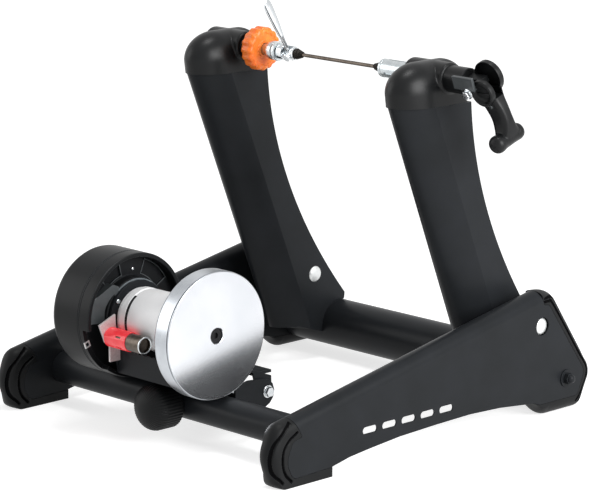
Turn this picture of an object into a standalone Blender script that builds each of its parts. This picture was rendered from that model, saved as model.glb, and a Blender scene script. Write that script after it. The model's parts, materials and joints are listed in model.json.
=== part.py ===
"""A wheel-on bicycle trainer: folding stand, wheel clamp, skewer and a roller resistance unit.

X runs across the trainer to the flywheel side, Y runs forward to the pivot bar, Z is up.
All sizes are in metres. The origin is the middle of the bounding box, on the floor.
"""
import math

import bmesh
import bpy
from mathutils import Vector

MM = 0.001

# Base
BASE_HALF_WIDTH = 256.3 * MM
MEMBER_THICKNESS = 28.9 * MM
MEMBER_WALL = 2.0 * MM
REAR_BAR_Y = -188.0 * MM
REAR_BAR_Z = 43.7 * MM
REAR_BAR_RADIUS = 20.2 * MM
BAR_WALL = 2.2 * MM

# Leg frame
PIVOT_Y = 235.0 * MM
PIVOT_Z = 43.3 * MM
FRONT_BAR_RADIUS = 32.3 * MM
PIVOT_ROD_RADIUS = 4.0 * MM
STUD_LENGTH = 13.0 * MM
UPRIGHT_MID = 181.0 * MM
UPRIGHT_HALF = 30.0 * MM
UPRIGHT_WALL = 2.5 * MM
UPRIGHT_LIP = 9.0 * MM
NOSE_LENGTH = 46.0 * MM
NOSE_BOTTOM = 48.5 * MM
CREASE_TOP_Y = 37.4 * MM
CREASE_LOW_Y = 181.2 * MM
FRONT_TOP_Y = 102.6 * MM
FRONT_LOW_Y = 246.5 * MM
FRONT_LOW_Z = 84.0 * MM
FRONT_STRAIGHT_SHARE = 0.137
LOCK_Y = 188.8 * MM
LOCK_Z = 118.1 * MM
LOCK_RADIUS = 11.0 * MM

# Wheel clamp
AXLE_Y = 63.0 * MM
AXLE_Z = 441.0 * MM
BARREL_RADIUS = 19.5 * MM
UPRIGHT_TOP = AXLE_Z - 33.0 * MM
ELBOW_KNEE = AXLE_Z - 16.0 * MM
ELBOW_RISE = 36.0 * MM
SPINDLE_RADIUS = 5.0 * MM
ROD_RADIUS = 7.0 * MM
CUP_RADIUS = 11.8 * MM
KNOB_RADIUS = 28.5 * MM
KNOB_LOBES = 16
LEVER_X = 262.0 * MM
LEVER_LENGTH = 69.0 * MM
LEVER_TILT = math.radians(20.0)
LEVER_HEAD_RADIUS = 20.5 * MM
LEVER_HEAD_OUT = 4.5 * MM
LEVER_HEAD_HALF = 15.0 * MM
LEVER_BOW = 35.0 * MM
LEVER_PIN_RADIUS = 3.0 * MM
FORK_HALF = ROD_RADIUS + 0.4 * MM
GRIP_LENGTH = 58.0 * MM
GRIP_SHORTER = 6.5 * MM

# Skewer
SKEWER_RADIUS = 2.4 * MM
SKEWER_LEFT = -86.7 * MM
SKEWER_RIGHT = 98.0 * MM
SKEWER_LEVER_X = -65.5 * MM
SKEWER_SPRING_LEFT = -57.0 * MM
SKEWER_LEVER_LENGTH = 85.0 * MM
SKEWER_LEVER_ANGLE = math.radians(60.0)
SPRING_WIRE = 0.8 * MM
SPRING_TURNS = 4.5

# Resistance unit
UNIT_Y = -209.0 * MM
UNIT_Z = 145.0 * MM
FLYWHEEL_RADIUS = 79.0 * MM
FLYWHEEL_LEFT = 57.5 * MM
FLYWHEEL_RIGHT = 87.5 * MM
ROLLER_RADIUS = 37.5 * MM
ROLLER_LEFT = -55.0 * MM
SHAFT_RADIUS = 6.0 * MM
DRUM_RADIUS = 78.0 * MM
DRUM_LEFT = -131.0 * MM
DRUM_SEAM = -77.0 * MM
DRUM_RIGHT = -59.3 * MM
DRUM_WALL = 4.0 * MM
UNIT_PIVOT_Y = -114.0 * MM
UNIT_PIVOT_Z = 56.0 * MM
UNIT_BOLT_RADIUS = 4.0 * MM
BRACKET_HALF = 75.0 * MM
PLATE = 3.5 * MM
PRESS_Z = 43.7 * MM
PRESS_SCREW_RADIUS = 5.0 * MM
PRESS_KNOB_RADIUS = 29.0 * MM
PRESS_KNOB_NOSE = -254.5 * MM
NUT_RADIUS = 6.0 * MM
TUBE_Y = -256.5 * MM
TUBE_Z = 127.0 * MM
TUBE_RADIUS = 11.0 * MM
TUBE_LEFT = -52.0 * MM
WALL_REAR_Y = -241.5 * MM

# Clearances
GAP = 0.3 * MM
RUNNING = 0.05 * MM

# Facet counts
FINE_ROUND = 40
ROUND = 24
SMALL_ROUND = 16
RIM_LAYERS = (-90, -60, -30, 0, 30, 60, 90)
FLAT_LIMIT = math.radians(0.2)

# The bounding box runs from the left stud's end to the right lever, and from flywheel to front rim
LEVER_REACH = LEVER_X + LEVER_BOW
REAR_EXTREME = UNIT_Y - FLYWHEEL_RADIUS
FRONT_EXTREME = 286.9 * MM
SHIFT = Vector((
    -(LEVER_REACH - BASE_HALF_WIDTH - STUD_LENGTH) / 2,
    -(FRONT_EXTREME + REAR_EXTREME) / 2,
    0.0,
))

X_AXIS = Vector((1, 0, 0))
Y_AXIS = Vector((0, 1, 0))
Z_AXIS = Vector((0, 0, 1))

FINISHES = {
    "satin_black_steel": ((0.022, 0.023, 0.024), 0.3, 0.42),
    "black_plastic": ((0.028, 0.029, 0.030), 0.0, 0.6),
    "drum_black": ((0.02, 0.021, 0.022), 0.1, 0.55),
    "zinc_steel": ((0.62, 0.62, 0.6), 1.0, 0.32),
    "chrome_steel": ((0.78, 0.79, 0.8), 1.0, 0.12),
    "roller_alloy": ((0.74, 0.74, 0.73), 1.0, 0.38),
    "orange_plastic": ((0.85, 0.2, 0.02), 0.0, 0.4),
    "red_plastic": ((0.8, 0.12, 0.12), 0.0, 0.35),
    "rod_steel": ((0.3, 0.26, 0.23), 1.0, 0.4),
    "button_silver": ((0.8, 0.8, 0.8), 0.6, 0.35),
    "black_rubber": ((0.015, 0.015, 0.015), 0.0, 0.8),
}


def clear_scene():
    for item in list(bpy.data.objects):
        bpy.data.objects.remove(item)


def finish_material(name):
    found = bpy.data.materials.get(name)
    if found:
        return found
    colour, metallic, roughness = FINISHES[name]
    material = bpy.data.materials.new(name)
    material.use_nodes = True
    shader = material.node_tree.nodes["Principled BSDF"]
    shader.inputs["Base Color"].default_value = (*colour, 1.0)
    shader.inputs["Metallic"].default_value = metallic
    shader.inputs["Roughness"].default_value = roughness
    return material


def loose_object(name, bm):
    bmesh.ops.recalc_face_normals(bm, faces=bm.faces)
    mesh = bpy.data.meshes.new(name)
    bm.to_mesh(mesh)
    bm.free()
    item = bpy.data.objects.new(name, mesh)
    bpy.context.collection.objects.link(item)
    return item


def combine(base, others, operation):
    """Applies an exact boolean of each other shape to the base shape."""
    body = loose_object("working", base)
    tools = []
    for number, other in enumerate(others):
        tool = loose_object("tool_%d" % number, other)
        tool.display_type = "WIRE"
        tool.hide_render = True
        step = body.modifiers.new("step_%d" % number, "BOOLEAN")
        step.operation = operation
        step.solver = "EXACT"
        step.object = tool
        tools.append(tool)
    bpy.context.view_layer.update()
    graph = bpy.context.evaluated_depsgraph_get()
    mesh = bpy.data.meshes.new_from_object(body.evaluated_get(graph))
    for item in [body] + tools:
        bpy.data.objects.remove(item)
    result = bmesh.new()
    result.from_mesh(mesh)
    bpy.data.meshes.remove(mesh)
    return merge_flats(result)


def merge_flats(bm):
    """Joins coplanar neighbours, so flat sides carry no needless edges."""
    bmesh.ops.dissolve_limit(bm, angle_limit=FLAT_LIMIT, verts=bm.verts, edges=bm.edges)
    return bm


def cut(base, *tools):
    return combine(base, tools, "DIFFERENCE")


def join(base, *tools):
    return combine(base, tools, "UNION")


def node(name, bm, finish, origin=(0.0, 0.0, 0.0), smooth=True):
    """Adds a finished piece whose own origin sits at the given point."""
    origin = Vector(origin)
    bmesh.ops.translate(bm, verts=bm.verts, vec=-origin)
    item = loose_object(name, bm)
    item.location = origin + SHIFT
    item.data.materials.append(finish_material(finish))
    if smooth:
        item.data.shade_smooth()
        item.data.set_sharp_from_angle(angle=math.radians(32))
    return item


def loft(rings, looped=False):
    """Skins rings of equal length; open stacks get flat ends."""
    bm = bmesh.new()
    rows = [[bm.verts.new(point) for point in ring] for ring in rings]
    count = len(rows[0])
    spans = len(rows) if looped else len(rows) - 1
    for span in range(spans):
        low = rows[span]
        high = rows[(span + 1) % len(rows)]
        for step in range(count):
            after = (step + 1) % count
            bm.faces.new((low[step], low[after], high[after], high[step]))
    if not looped:
        bm.faces.new(rows[0][::-1])
        bm.faces.new(rows[-1])
    return bm


def basis(axis):
    axis = Vector(axis).normalized()
    helper = Z_AXIS if abs(axis.z) < 0.9 else X_AXIS
    side = axis.cross(helper).normalized()
    return axis, side, axis.cross(side)


def turned(profile, centre, axis=X_AXIS, steps=ROUND, bored=False, wave=None):
    """Turns (radius, distance along the axis) pairs about a line; a bored profile closes on itself."""
    along, side, up = basis(axis)
    centre = Vector(centre)
    rings = []
    for radius, distance in profile:
        ring = []
        for step in range(steps):
            angle = math.tau * step / steps
            reach = radius * (wave(angle) if wave else 1.0)
            out = side * math.cos(angle) + up * math.sin(angle)
            ring.append(centre + along * distance + out * reach)
        rings.append(ring)
    return loft(rings, looped=bored)


def rod(radius, start, end, centre, axis=X_AXIS, steps=SMALL_ROUND, chamfer=0.0):
    if chamfer:
        profile = [(radius - chamfer, start), (radius, start + chamfer),
                   (radius, end - chamfer), (radius - chamfer, end)]
    else:
        profile = [(radius, start), (radius, end)]
    return turned(profile, centre, axis, steps)


def pipe(outer, inner, start, end, centre, axis=X_AXIS, steps=ROUND):
    profile = [(outer, start), (outer, end), (inner, end), (inner, start)]
    return turned(profile, centre, axis, steps, bored=True)


def prism(outline, low, high):
    """Extrudes a (y, z) outline along X."""
    return loft([[Vector((x, y, z)) for y, z in outline] for x in (low, high)])


def block(low, high):
    outline = [(low[1], low[2]), (high[1], low[2]), (high[1], high[2]), (low[1], high[2])]
    return prism(outline, low[0], high[0])


def hexagon(across, start, end, centre, axis=X_AXIS):
    radius = across / math.sqrt(3)
    return turned([(radius, start), (radius, end)], centre, axis, 6)


def round_corners(corners, span=12.0):
    """Turns (y, z, radius) corners in mm into a (y, z) path in metres, one point per span of degrees."""
    path = []
    count = len(corners)
    for index, (y, z, radius) in enumerate(corners):
        here = Vector((y, z))
        if radius == 0 or index in (0, count - 1):
            path.append(here * MM)
            continue
        before = (Vector(corners[index - 1][:2]) - here).normalized()
        after = (Vector(corners[index + 1][:2]) - here).normalized()
        half = before.angle(after) / 2
        reach = radius / math.tan(half)
        middle = here + (before + after).normalized() * (radius / math.sin(half))
        first = here + before * reach - middle
        last = here + after * reach - middle
        turn = first.angle_signed(last)
        steps = max(1, round(abs(math.degrees(turn)) / span))
        for step in range(steps + 1):
            angle = -turn * step / steps
            point = Vector((
                first.x * math.cos(angle) - first.y * math.sin(angle),
                first.x * math.sin(angle) + first.y * math.cos(angle),
            ))
            path.append((middle + point) * MM)
    return path


def shift_path(path, distance):
    """Moves an open path sideways, to its left, by a distance."""
    sides = []
    for start, end in zip(path, path[1:]):
        along = (end - start).normalized()
        sides.append(Vector((-along.y, along.x)))
    moved = [path[0] + sides[0] * distance]
    for point, first, second in zip(path[1:], sides, sides[1:]):
        moved.append(point + (first + second) * distance / (1 + first.dot(second)))
    moved.append(path[-1] + sides[-1] * distance)
    return moved


def rim_insets(rim, start_edge, end_edge):
    """For each rim point, the way in that keeps the rim's round section; the two ends follow an edge."""
    insets = []
    for index, point in enumerate(rim):
        before = rim[max(index - 1, 0)]
        after = rim[min(index + 1, len(rim) - 1)]
        along = (after - before).normalized()
        inward = Vector((along.y, -along.x))
        if index == 0 and start_edge is not None:
            way = (start_edge - point).normalized()
            inward = way / max(way.dot(inward), 0.3)
        if index == len(rim) - 1 and end_edge is not None:
            way = (end_edge - point).normalized()
            inward = way / max(way.dot(inward), 0.3)
        insets.append(inward)
    return insets


def rimmed_plate(rim, edge, weights, middle, radius):
    """A plate whose rim path is half-round across X and whose other edge is square.

    The rim runs clockwise seen from +X, so its inside is on its right.
    """
    insets = rim_insets(rim, edge[-1], edge[0])
    rings = []
    for layer in RIM_LAYERS:
        angle = math.radians(layer)
        depth = radius * (1 - math.cos(angle))
        x = middle + radius * math.sin(angle)
        ring = [point + way * depth * weight for point, way, weight in zip(rim, insets, weights)]
        ring += edge
        rings.append([Vector((x, point.x, point.y)) for point in ring])
    return merge_flats(loft(rings))


def crest(y):
    """Height of the side member's top edge at y, both in mm."""
    return 81.0 + 0.1915 * (y + 242.0)


def rear_seam():
    return round_corners([
        (-180.4, 12.0, 0), (-244.5, 10.0, 9), (-255.5, 31.0, 22), (-245.5, 54.0, 12),
        (-230.0, 58.5, 2), (-242.0, crest(-242.0), 0),
    ], 20.0)


def front_seam():
    return round_corners([
        (185.0, crest(185.0), 0), (191.5, 145.0, 2), (199.8, 145.0, 10), (270.0, 47.5, 14),
        (257.5, 17.0, 9), (186.0, 17.0, 5), (175.5, 20.6, 0),
    ], 20.0)


def arch():
    """The square lower edge, from the front foot back to the rear heel."""
    corners = [(111.2, 27.5), (56.5, 29.8), (-5.0, 28.6), (-66.8, 26.4), (-118.0, 21.8), (-151.6, 18.2)]
    return [Vector(corner) * MM for corner in corners]


def side_member(side):
    """Pressed inverted-U member: half-round top, open below, butting on both foot caps."""
    half = MEMBER_THICKNESS / 2
    middle = side * (BASE_HALF_WIDTH - half)
    front = shift_path(front_seam(), -GAP)
    rear = shift_path(rear_seam(), -GAP)
    rim = [Vector((end.x, crest(end.x / MM) * MM)) for end in (rear[-1], front[0])]
    edge = front[1:] + arch() + rear[:-1]
    body = rimmed_plate(rim, edge, [1.0] * len(rim), middle, half)
    ends = [Vector((y, crest(y))) * MM - Vector((0, MEMBER_WALL)) for y in (-300.0, 320.0)]
    floor = [Vector((320.0, -30.0)) * MM, Vector((-300.0, -30.0)) * MM]
    hollow = rimmed_plate(ends, floor, [1.0, 1.0], middle, half - MEMBER_WALL)
    outer = side * (BASE_HALF_WIDTH - MEMBER_WALL / 2)
    holes = [
        rod(PIVOT_ROD_RADIUS + GAP, -40 * MM, 40 * MM, (middle, PIVOT_Y, PIVOT_Z)),
        rod(LOCK_RADIUS + 0.6 * MM, -40 * MM, 40 * MM, (middle, LOCK_Y, LOCK_Z), steps=ROUND),
    ]
    for number in range(5):
        holes.append(slot(outer, (-130.0 + 33.0 * number) * MM, 24.0 * MM, 9.0 * MM, 45.0 * MM))
    return cut(body, hollow, *holes)


def slot(x, start, length, width, height):
    """A plain round-ended slot cutter along Y."""
    outline = []
    for end, centre in ((1, start + length - width / 2), (-1, start + width / 2)):
        for step in range(7):
            angle = math.radians(-90 + 30 * step)
            y = centre + end * math.cos(angle) * width / 2
            outline.append((y, height + end * math.sin(angle) * width / 2))
    return prism(outline, x - 4 * MM, x + 4 * MM)


def rear_cap(side):
    """Rear plastic foot: half-round rim that flattens into the sole."""
    half = MEMBER_THICKNESS / 2
    rim = round_corners([
        (-180.4, 0.0, 0), (-266.0, 0.0, 6), (-282.5, 38.0, 40), (-268.0, crest(-268.0), 22),
        (-242.0, crest(-242.0), 0),
    ])
    weights = [min(1.0, point.y / (22.0 * MM)) ** 0.7 for point in rim]
    return rimmed_plate(rim, rear_seam()[::-1][1:], weights, side * (BASE_HALF_WIDTH - half), half)


def front_cap(side):
    """Front plastic foot: half-round rim all the way down to the floor."""
    half = MEMBER_THICKNESS / 2
    rim = round_corners([
        (185.0, crest(185.0), 0), (208.5, 163.5, 37), (290.5, 46.0, 25), (268.0, 0.0, 16),
        (196.0, 0.0, 25), (175.5, 20.6, 0),
    ])
    heel = rim[-1].x
    weights = [min(1.0, (point.x - heel) / (26.0 * MM)) for point in rim]
    return rimmed_plate(rim, front_seam()[::-1][1:-1], weights, side * (BASE_HALF_WIDTH - half), half)


def rear_bar():
    inner_face = BASE_HALF_WIDTH - MEMBER_THICKNESS - GAP
    tube = pipe(REAR_BAR_RADIUS, REAR_BAR_RADIUS - BAR_WALL, -inner_face, inner_face,
                (0, REAR_BAR_Y, REAR_BAR_Z), steps=32)
    return cut(tube, rod(PRESS_SCREW_RADIUS + 1.2 * MM, -40 * MM, 40 * MM,
                         (0, REAR_BAR_Y, PRESS_Z), Y_AXIS))


def upright_section(side, height, front, level=None):
    """One ring of the U section: outside from lip to lip, then back along the inside."""
    crease = CREASE_TOP_Y + (CREASE_LOW_Y - CREASE_TOP_Y) * (UPRIGHT_TOP - height) / (UPRIGHT_TOP - NOSE_BOTTOM)
    middle = side * UPRIGHT_MID
    points = []
    for inset in (0.0, UPRIGHT_WALL):
        half = UPRIGHT_HALF - inset
        path = [(-(UPRIGHT_HALF - UPRIGHT_LIP), front - inset), (-half, front - inset)]
        for step in range(9):
            angle = math.pi * step / 8
            path.append((-half * math.cos(angle), crease - (NOSE_LENGTH - inset) * math.sin(angle)))
        path += [(half, front - inset), (UPRIGHT_HALF - UPRIGHT_LIP, front - inset)]
        points += path if inset == 0.0 else path[::-1]
    ring = []
    for x, y in points:
        z = level(y) if level else height
        ring.append(Vector((middle + x, y, z)))
    return ring


def upright_front(height):
    """The front edge's y at a height: a slight lean that sweeps forward to the bar."""
    share = (UPRIGHT_TOP - height) / (UPRIGHT_TOP - FRONT_LOW_Z)
    sweep = FRONT_STRAIGHT_SHARE * share + (1 - FRONT_STRAIGHT_SHARE) * share ** 2
    return FRONT_TOP_Y + (FRONT_LOW_Y - FRONT_TOP_Y) * sweep


def upright(side):
    """Pressed U leg, coped over the front bar, with a hole for the lock pin."""
    spans = 11
    heights = [UPRIGHT_TOP + (FRONT_LOW_Z - UPRIGHT_TOP) * step / spans for step in range(spans + 1)]
    front_edge = [(upright_front(height), height) for height in heights]
    front_edge += [(245.8 * MM, 77.0 * MM), (240.0 * MM, 70.0 * MM)]
    rings = [upright_section(side, z, y) for y, z in front_edge]

    def foot(y):
        return NOSE_BOTTOM - max(0.0, y - 164.0 * MM) * 0.32

    rings.append(upright_section(side, NOSE_BOTTOM, 235.0 * MM, foot))
    shell = loft(rings)
    notch = rod(FRONT_BAR_RADIUS + GAP, -40 * MM, 40 * MM, (side * UPRIGHT_MID, PIVOT_Y, PIVOT_Z), steps=ROUND)
    hole = rod(LOCK_RADIUS + RUNNING, -40 * MM, 40 * MM, (side * UPRIGHT_MID, LOCK_Y, LOCK_Z), steps=ROUND)
    return cut(shell, notch, hole)


def elbow_ring(side, height, turn):
    """A closed ring of the elbow: straight sides, then a round ridge as the turn grows."""
    middle = side * UPRIGHT_MID
    lean = 0.14 * (min(height, ELBOW_KNEE) - UPRIGHT_TOP)
    crease = CREASE_TOP_Y - lean
    front = 100.0 * MM - 22.0 * MM * (1 - math.cos(turn))
    half = UPRIGHT_HALF * math.cos(turn)
    nose = NOSE_LENGTH * math.cos(turn)
    corner = 8.0 * MM * math.cos(turn)
    path = []
    for step in range(11):
        angle = math.pi * step / 10
        path.append((-half * math.cos(angle), crease - nose * math.sin(angle)))
    path += [(half, front - corner), (half - corner * 0.75, front)]
    path += [(-half + corner * 0.75, front), (-half, front - corner)]
    return [Vector((middle + x, y, height)) for x, y in path]


def elbow(side):
    """Cap on the upright: a round ridge crossed by the clamp's barrel."""
    low = UPRIGHT_TOP + GAP
    rings = [elbow_ring(side, low, 0.0)]
    for step in range(7):
        turn = math.radians(13.0 * step)
        rings.append(elbow_ring(side, ELBOW_KNEE + ELBOW_RISE * math.sin(turn), turn))
    dome = loft(rings)
    centre = (0, AXLE_Y, AXLE_Z)
    inner, outer = (147.0 * MM, 213.0 * MM)
    axis = X_AXIS * side
    barrel = rod(BARREL_RADIUS, inner, outer, centre, axis, ROUND, 2.0 * MM)
    if side > 0:
        neck = rod(BARREL_RADIUS - 3.0 * MM, outer - 5 * MM, 243.0 * MM, centre, axis, ROUND, 1.0 * MM)
        bore = rod(ROD_RADIUS + RUNNING, 100 * MM, 260 * MM, centre, axis, ROUND)
        seat = rod(CUP_RADIUS + 2 * GAP, 100 * MM, 160 * MM, centre, axis, ROUND)
    else:
        neck = rod(BARREL_RADIUS - 4.5 * MM, 134.0 * MM, inner + 5 * MM, centre, axis, ROUND, 1.0 * MM)
        bore = rod(SPINDLE_RADIUS + RUNNING, 100 * MM, 260 * MM, centre, axis, ROUND)
        seat = rod(SPINDLE_RADIUS + 1.5 * MM, 205 * MM, 260 * MM, centre, axis, ROUND)
    hollow = loft([
        [Vector((side * UPRIGHT_MID + (p.x - side * UPRIGHT_MID) * 0.86, 45 * MM + (p.y - 45 * MM) * 0.9, z))
         for p in elbow_ring(side, UPRIGHT_TOP, 0.0)]
        for z in (low - 3 * MM, ELBOW_KNEE - 8.0 * MM)
    ])
    body = join(dome, barrel, neck)
    return cut(body, hollow, bore, seat)


def front_bar():
    reach = BASE_HALF_WIDTH - MEMBER_THICKNESS - 2 * GAP
    return pipe(FRONT_BAR_RADIUS, FRONT_BAR_RADIUS - BAR_WALL, -reach, reach, (0, PIVOT_Y, PIVOT_Z), steps=FINE_ROUND)


def bar_plug(side):
    reach = BASE_HALF_WIDTH - MEMBER_THICKNESS - 2 * GAP
    return pipe(FRONT_BAR_RADIUS - BAR_WALL - GAP, PIVOT_ROD_RADIUS + RUNNING, reach - 14 * MM, reach,
                (0, PIVOT_Y, PIVOT_Z), X_AXIS * side)


def pivot_rod():
    end = BASE_HALF_WIDTH + STUD_LENGTH
    return rod(PIVOT_ROD_RADIUS, -end, end, (0, PIVOT_Y, PIVOT_Z), chamfer=0.8 * MM)


def pivot_washer(side):
    return pipe(11.2 * MM, PIVOT_ROD_RADIUS + RUNNING, BASE_HALF_WIDTH + 0.1 * MM, BASE_HALF_WIDTH + 1.8 * MM,
                (0, PIVOT_Y, PIVOT_Z), X_AXIS * side)


def bored_nut(across, bore, start, end, centre, axis, collar=0.0):
    body = hexagon(across, start, end, centre, axis)
    if collar:
        body = join(body, rod(across * 0.44, end - 0.5 * MM, end + collar, centre, axis, SMALL_ROUND, 1.0 * MM))
    return cut(body, rod(bore, start - 5 * MM, end + 10 * MM, centre, axis, ROUND))


def pivot_nut(side):
    start = BASE_HALF_WIDTH + 2.0 * MM
    return bored_nut(13.0 * MM, PIVOT_ROD_RADIUS + RUNNING, start, start + 6.0 * MM,
                     (0, PIVOT_Y, PIVOT_Z), X_AXIS * side, 2.0 * MM)


def domed(radius, start, end, centre, axis, both=False):
    """A round pin with a shallow dome at its far end, or at both."""
    crown = [(radius, end - 3 * MM), (radius * 0.85, end - 1.1 * MM), (radius * 0.5, end - 0.3 * MM),
             (radius * 0.12, end)]
    foot = [(radius, start)]
    if both:
        foot = [(radius * 0.12, start), (radius * 0.5, start + 0.3 * MM), (radius * 0.85, start + 1.1 * MM),
                (radius, start + 3 * MM)]
    return turned(foot + crown, centre, axis, ROUND)


def lock_button(side):
    inner_face = BASE_HALF_WIDTH - MEMBER_THICKNESS
    return domed(LOCK_RADIUS, inner_face + GAP, BASE_HALF_WIDTH - 1.5 * MM, (0, LOCK_Y, LOCK_Z), X_AXIS * side)


def lock_pin(side):
    inner_face = BASE_HALF_WIDTH - MEMBER_THICKNESS
    return domed(LOCK_RADIUS, -(inner_face - GAP), -(UPRIGHT_MID - UPRIGHT_HALF - 2.5 * MM),
                 (0, LOCK_Y, LOCK_Z), X_AXIS * -side)


def adjuster_knob():
    centre = (0, AXLE_Y, AXLE_Z)

    def lobes(angle):
        return 1.0 - 0.06 * (1 - math.cos(KNOB_LOBES * angle)) / 2

    left, right = (-133.4 * MM, -114.0 * MM)
    profile = [(KNOB_RADIUS * 0.8, left), (KNOB_RADIUS * 0.95, left + 1.5 * MM), (KNOB_RADIUS, left + 4 * MM),
               (KNOB_RADIUS, right - 4 * MM), (KNOB_RADIUS * 0.95, right - 1.5 * MM), (KNOB_RADIUS * 0.8, right)]
    body = turned(profile, centre, X_AXIS, KNOB_LOBES * 5, wave=lobes)
    return cut(body, rod(SPINDLE_RADIUS + RUNNING, -150 * MM, -100 * MM, centre, X_AXIS, ROUND),
               rod(CUP_RADIUS + 0.6 * MM, -127.0 * MM, -100 * MM, centre, X_AXIS, ROUND))


def spindle_cup():
    """Left clamp screw with its cup and ring."""
    centre = (0, AXLE_Y, AXLE_Z)
    lip = SKEWER_LEFT - 0.5 * MM
    profile = [(SPINDLE_RADIUS - 1 * MM, -205 * MM), (SPINDLE_RADIUS, -204 * MM), (SPINDLE_RADIUS, -109 * MM),
               (10.2 * MM, -109 * MM), (11.0 * MM, -108 * MM), (11.0 * MM, lip - 9 * MM), (12.3 * MM, lip - 8.5 * MM),
               (12.8 * MM, lip - 7.5 * MM), (12.8 * MM, lip - 0.8 * MM), (12.3 * MM, lip), (9.5 * MM, lip),
               (7.0 * MM, lip - 8 * MM)]
    return turned(profile, centre, X_AXIS, ROUND)


def push_rod_cup():
    """Right clamp rod, from the slotted cup to the lever's clevis end."""
    centre = (0, AXLE_Y, AXLE_Z)
    profile = [(6.0 * MM, SKEWER_RIGHT + 9.0 * MM), (9.5 * MM, SKEWER_RIGHT), (11.0 * MM, SKEWER_RIGHT),
               (CUP_RADIUS, SKEWER_RIGHT + 1.2 * MM), (CUP_RADIUS, 146.5 * MM), (CUP_RADIUS - 1 * MM, 147.5 * MM),
               (ROD_RADIUS, 147.5 * MM), (ROD_RADIUS, 246.0 * MM)]
    body = turned(profile, centre, X_AXIS, ROUND)
    groove = block((112 * MM, AXLE_Y - 1.2 * MM, AXLE_Z + CUP_RADIUS - 1.6 * MM),
                   (140 * MM, AXLE_Y + 1.2 * MM, AXLE_Z + 20 * MM))
    return cut(body, groove)


def lever_axes():
    """The cam pin's direction and the closed arm's direction."""
    pin = Vector((0, math.cos(LEVER_TILT), math.sin(LEVER_TILT)))
    arm = Vector((0, math.sin(LEVER_TILT), -math.cos(LEVER_TILT)))
    return pin, arm


def oriented_block(centre, axes, halves):
    """A box with its own three axes."""
    corner_signs = ((-1, -1), (1, -1), (1, 1), (-1, 1))
    rings = []
    for end in (-1, 1):
        ring = []
        for first, second in corner_signs:
            ring.append(centre + axes[0] * halves[0] * end + axes[1] * halves[1] * first
                        + axes[2] * halves[2] * second)
        rings.append(ring)
    return loft(rings)


def clevis():
    """Grey block on the push rod's end; the cam pin runs through it."""
    pin, arm = lever_axes()
    centre = Vector((LEVER_X - 5.5 * MM, AXLE_Y, AXLE_Z))
    body = oriented_block(centre, (X_AXIS, pin, arm), (12.0 * MM, FORK_HALF - GAP, 8.5 * MM))
    middle = Vector((LEVER_X, AXLE_Y, AXLE_Z))
    return cut(body, rod(LEVER_PIN_RADIUS + RUNNING, -20 * MM, 20 * MM, middle, pin, ROUND),
               rod(ROD_RADIUS + RUNNING, 230 * MM, 246.0 * MM + GAP, (0, AXLE_Y, AXLE_Z), X_AXIS, ROUND))


def lever_section(middle, along, wide, deep, out):
    """One rounded ring across the lever's arm; sizes in mm."""
    pin, arm = lever_axes()
    ring = []
    for step in range(16):
        angle = math.tau * step / 16
        flat = abs(math.cos(angle)) ** 0.6 * math.copysign(1, math.cos(angle))
        rise = abs(math.sin(angle)) ** 0.6 * math.copysign(1, math.sin(angle))
        ring.append(middle + (arm * along + pin * wide * flat + X_AXIS * (deep * rise + out)) * MM)
    return ring


def cam_lever():
    """Forked cam head, bowed arm and T grip of the clamp lever."""
    pin, arm = lever_axes()
    middle = Vector((LEVER_X, AXLE_Y, AXLE_Z))
    centre = middle + X_AXIS * LEVER_HEAD_OUT - arm * 5.0 * MM
    rim = LEVER_HEAD_RADIUS - 2.0 * MM
    edge = LEVER_HEAD_HALF - 2.0 * MM
    head = turned([(rim, -LEVER_HEAD_HALF), (LEVER_HEAD_RADIUS, -edge), (LEVER_HEAD_RADIUS, edge),
                   (rim, LEVER_HEAD_HALF)], centre, pin, ROUND)
    reach = LEVER_BOW / MM
    bow = ((5, 13.0, 17.0, 7.5), (17, 10.5, 16.0, 11.0), (29, 8.6, 14.5, 16.5), (43, 8.4, 13.0, reach - 14.2),
           (54, 9.4, 12.0, reach - 12.4), (63, 12.0, 10.5, reach - 11.6), (69, 14.0, 9.6, reach - 11.4))
    blade = loft([lever_section(middle, *ring) for ring in bow])
    near = -GRIP_LENGTH / 2
    far = GRIP_LENGTH / 2 - GRIP_SHORTER
    grip = turned([(5.0 * MM, near), (9.2 * MM, near + 2.5 * MM), (11.3 * MM, near + 8 * MM),
                   (11.0 * MM, near + 13 * MM), (9.5 * MM, near + 19 * MM), (9.5 * MM, far - 16 * MM),
                   (10.7 * MM, far - 11 * MM), (10.9 * MM, far - 7 * MM), (8.9 * MM, far - 2.3 * MM),
                   (4.8 * MM, far)], middle + arm * LEVER_LENGTH + X_AXIS * (LEVER_BOW - 11.3 * MM), pin, ROUND)
    body = join(head, blade, grip)
    fork = oriented_block(middle + X_AXIS * 1.0 * MM - arm * 5.8 * MM, (X_AXIS, pin, arm),
                          (26.0 * MM, FORK_HALF, 19.7 * MM))
    hole = rod(LEVER_PIN_RADIUS + RUNNING, -20 * MM, 20 * MM, middle, pin, ROUND)
    return cut(body, fork, hole)


def lever_pin():
    """Cam pin with its bolt head and the side plate that it holds, on the near side."""
    pin, arm = lever_axes()
    middle = Vector((LEVER_X, AXLE_Y, AXLE_Z))
    shoulder = -LEVER_HEAD_HALF - GAP
    plate = -BARREL_RADIUS + 0.6 * MM
    profile = [(4.6 * MM, plate - 7.5 * MM), (5.6 * MM, plate - 6.5 * MM), (5.6 * MM, plate - 2.0 * MM),
               (4.4 * MM, plate - 2.0 * MM), (4.4 * MM, shoulder), (LEVER_PIN_RADIUS, shoulder),
               (LEVER_PIN_RADIUS, LEVER_HEAD_HALF - GAP)]
    side = oriented_block(middle - X_AXIS * 10.5 * MM - arm * 6.5 * MM + pin * plate, (X_AXIS, pin, arm),
                          (16.0 * MM, 2.0 * MM, 11.0 * MM))
    return join(turned(profile, middle, pin, ROUND), side)


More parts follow.
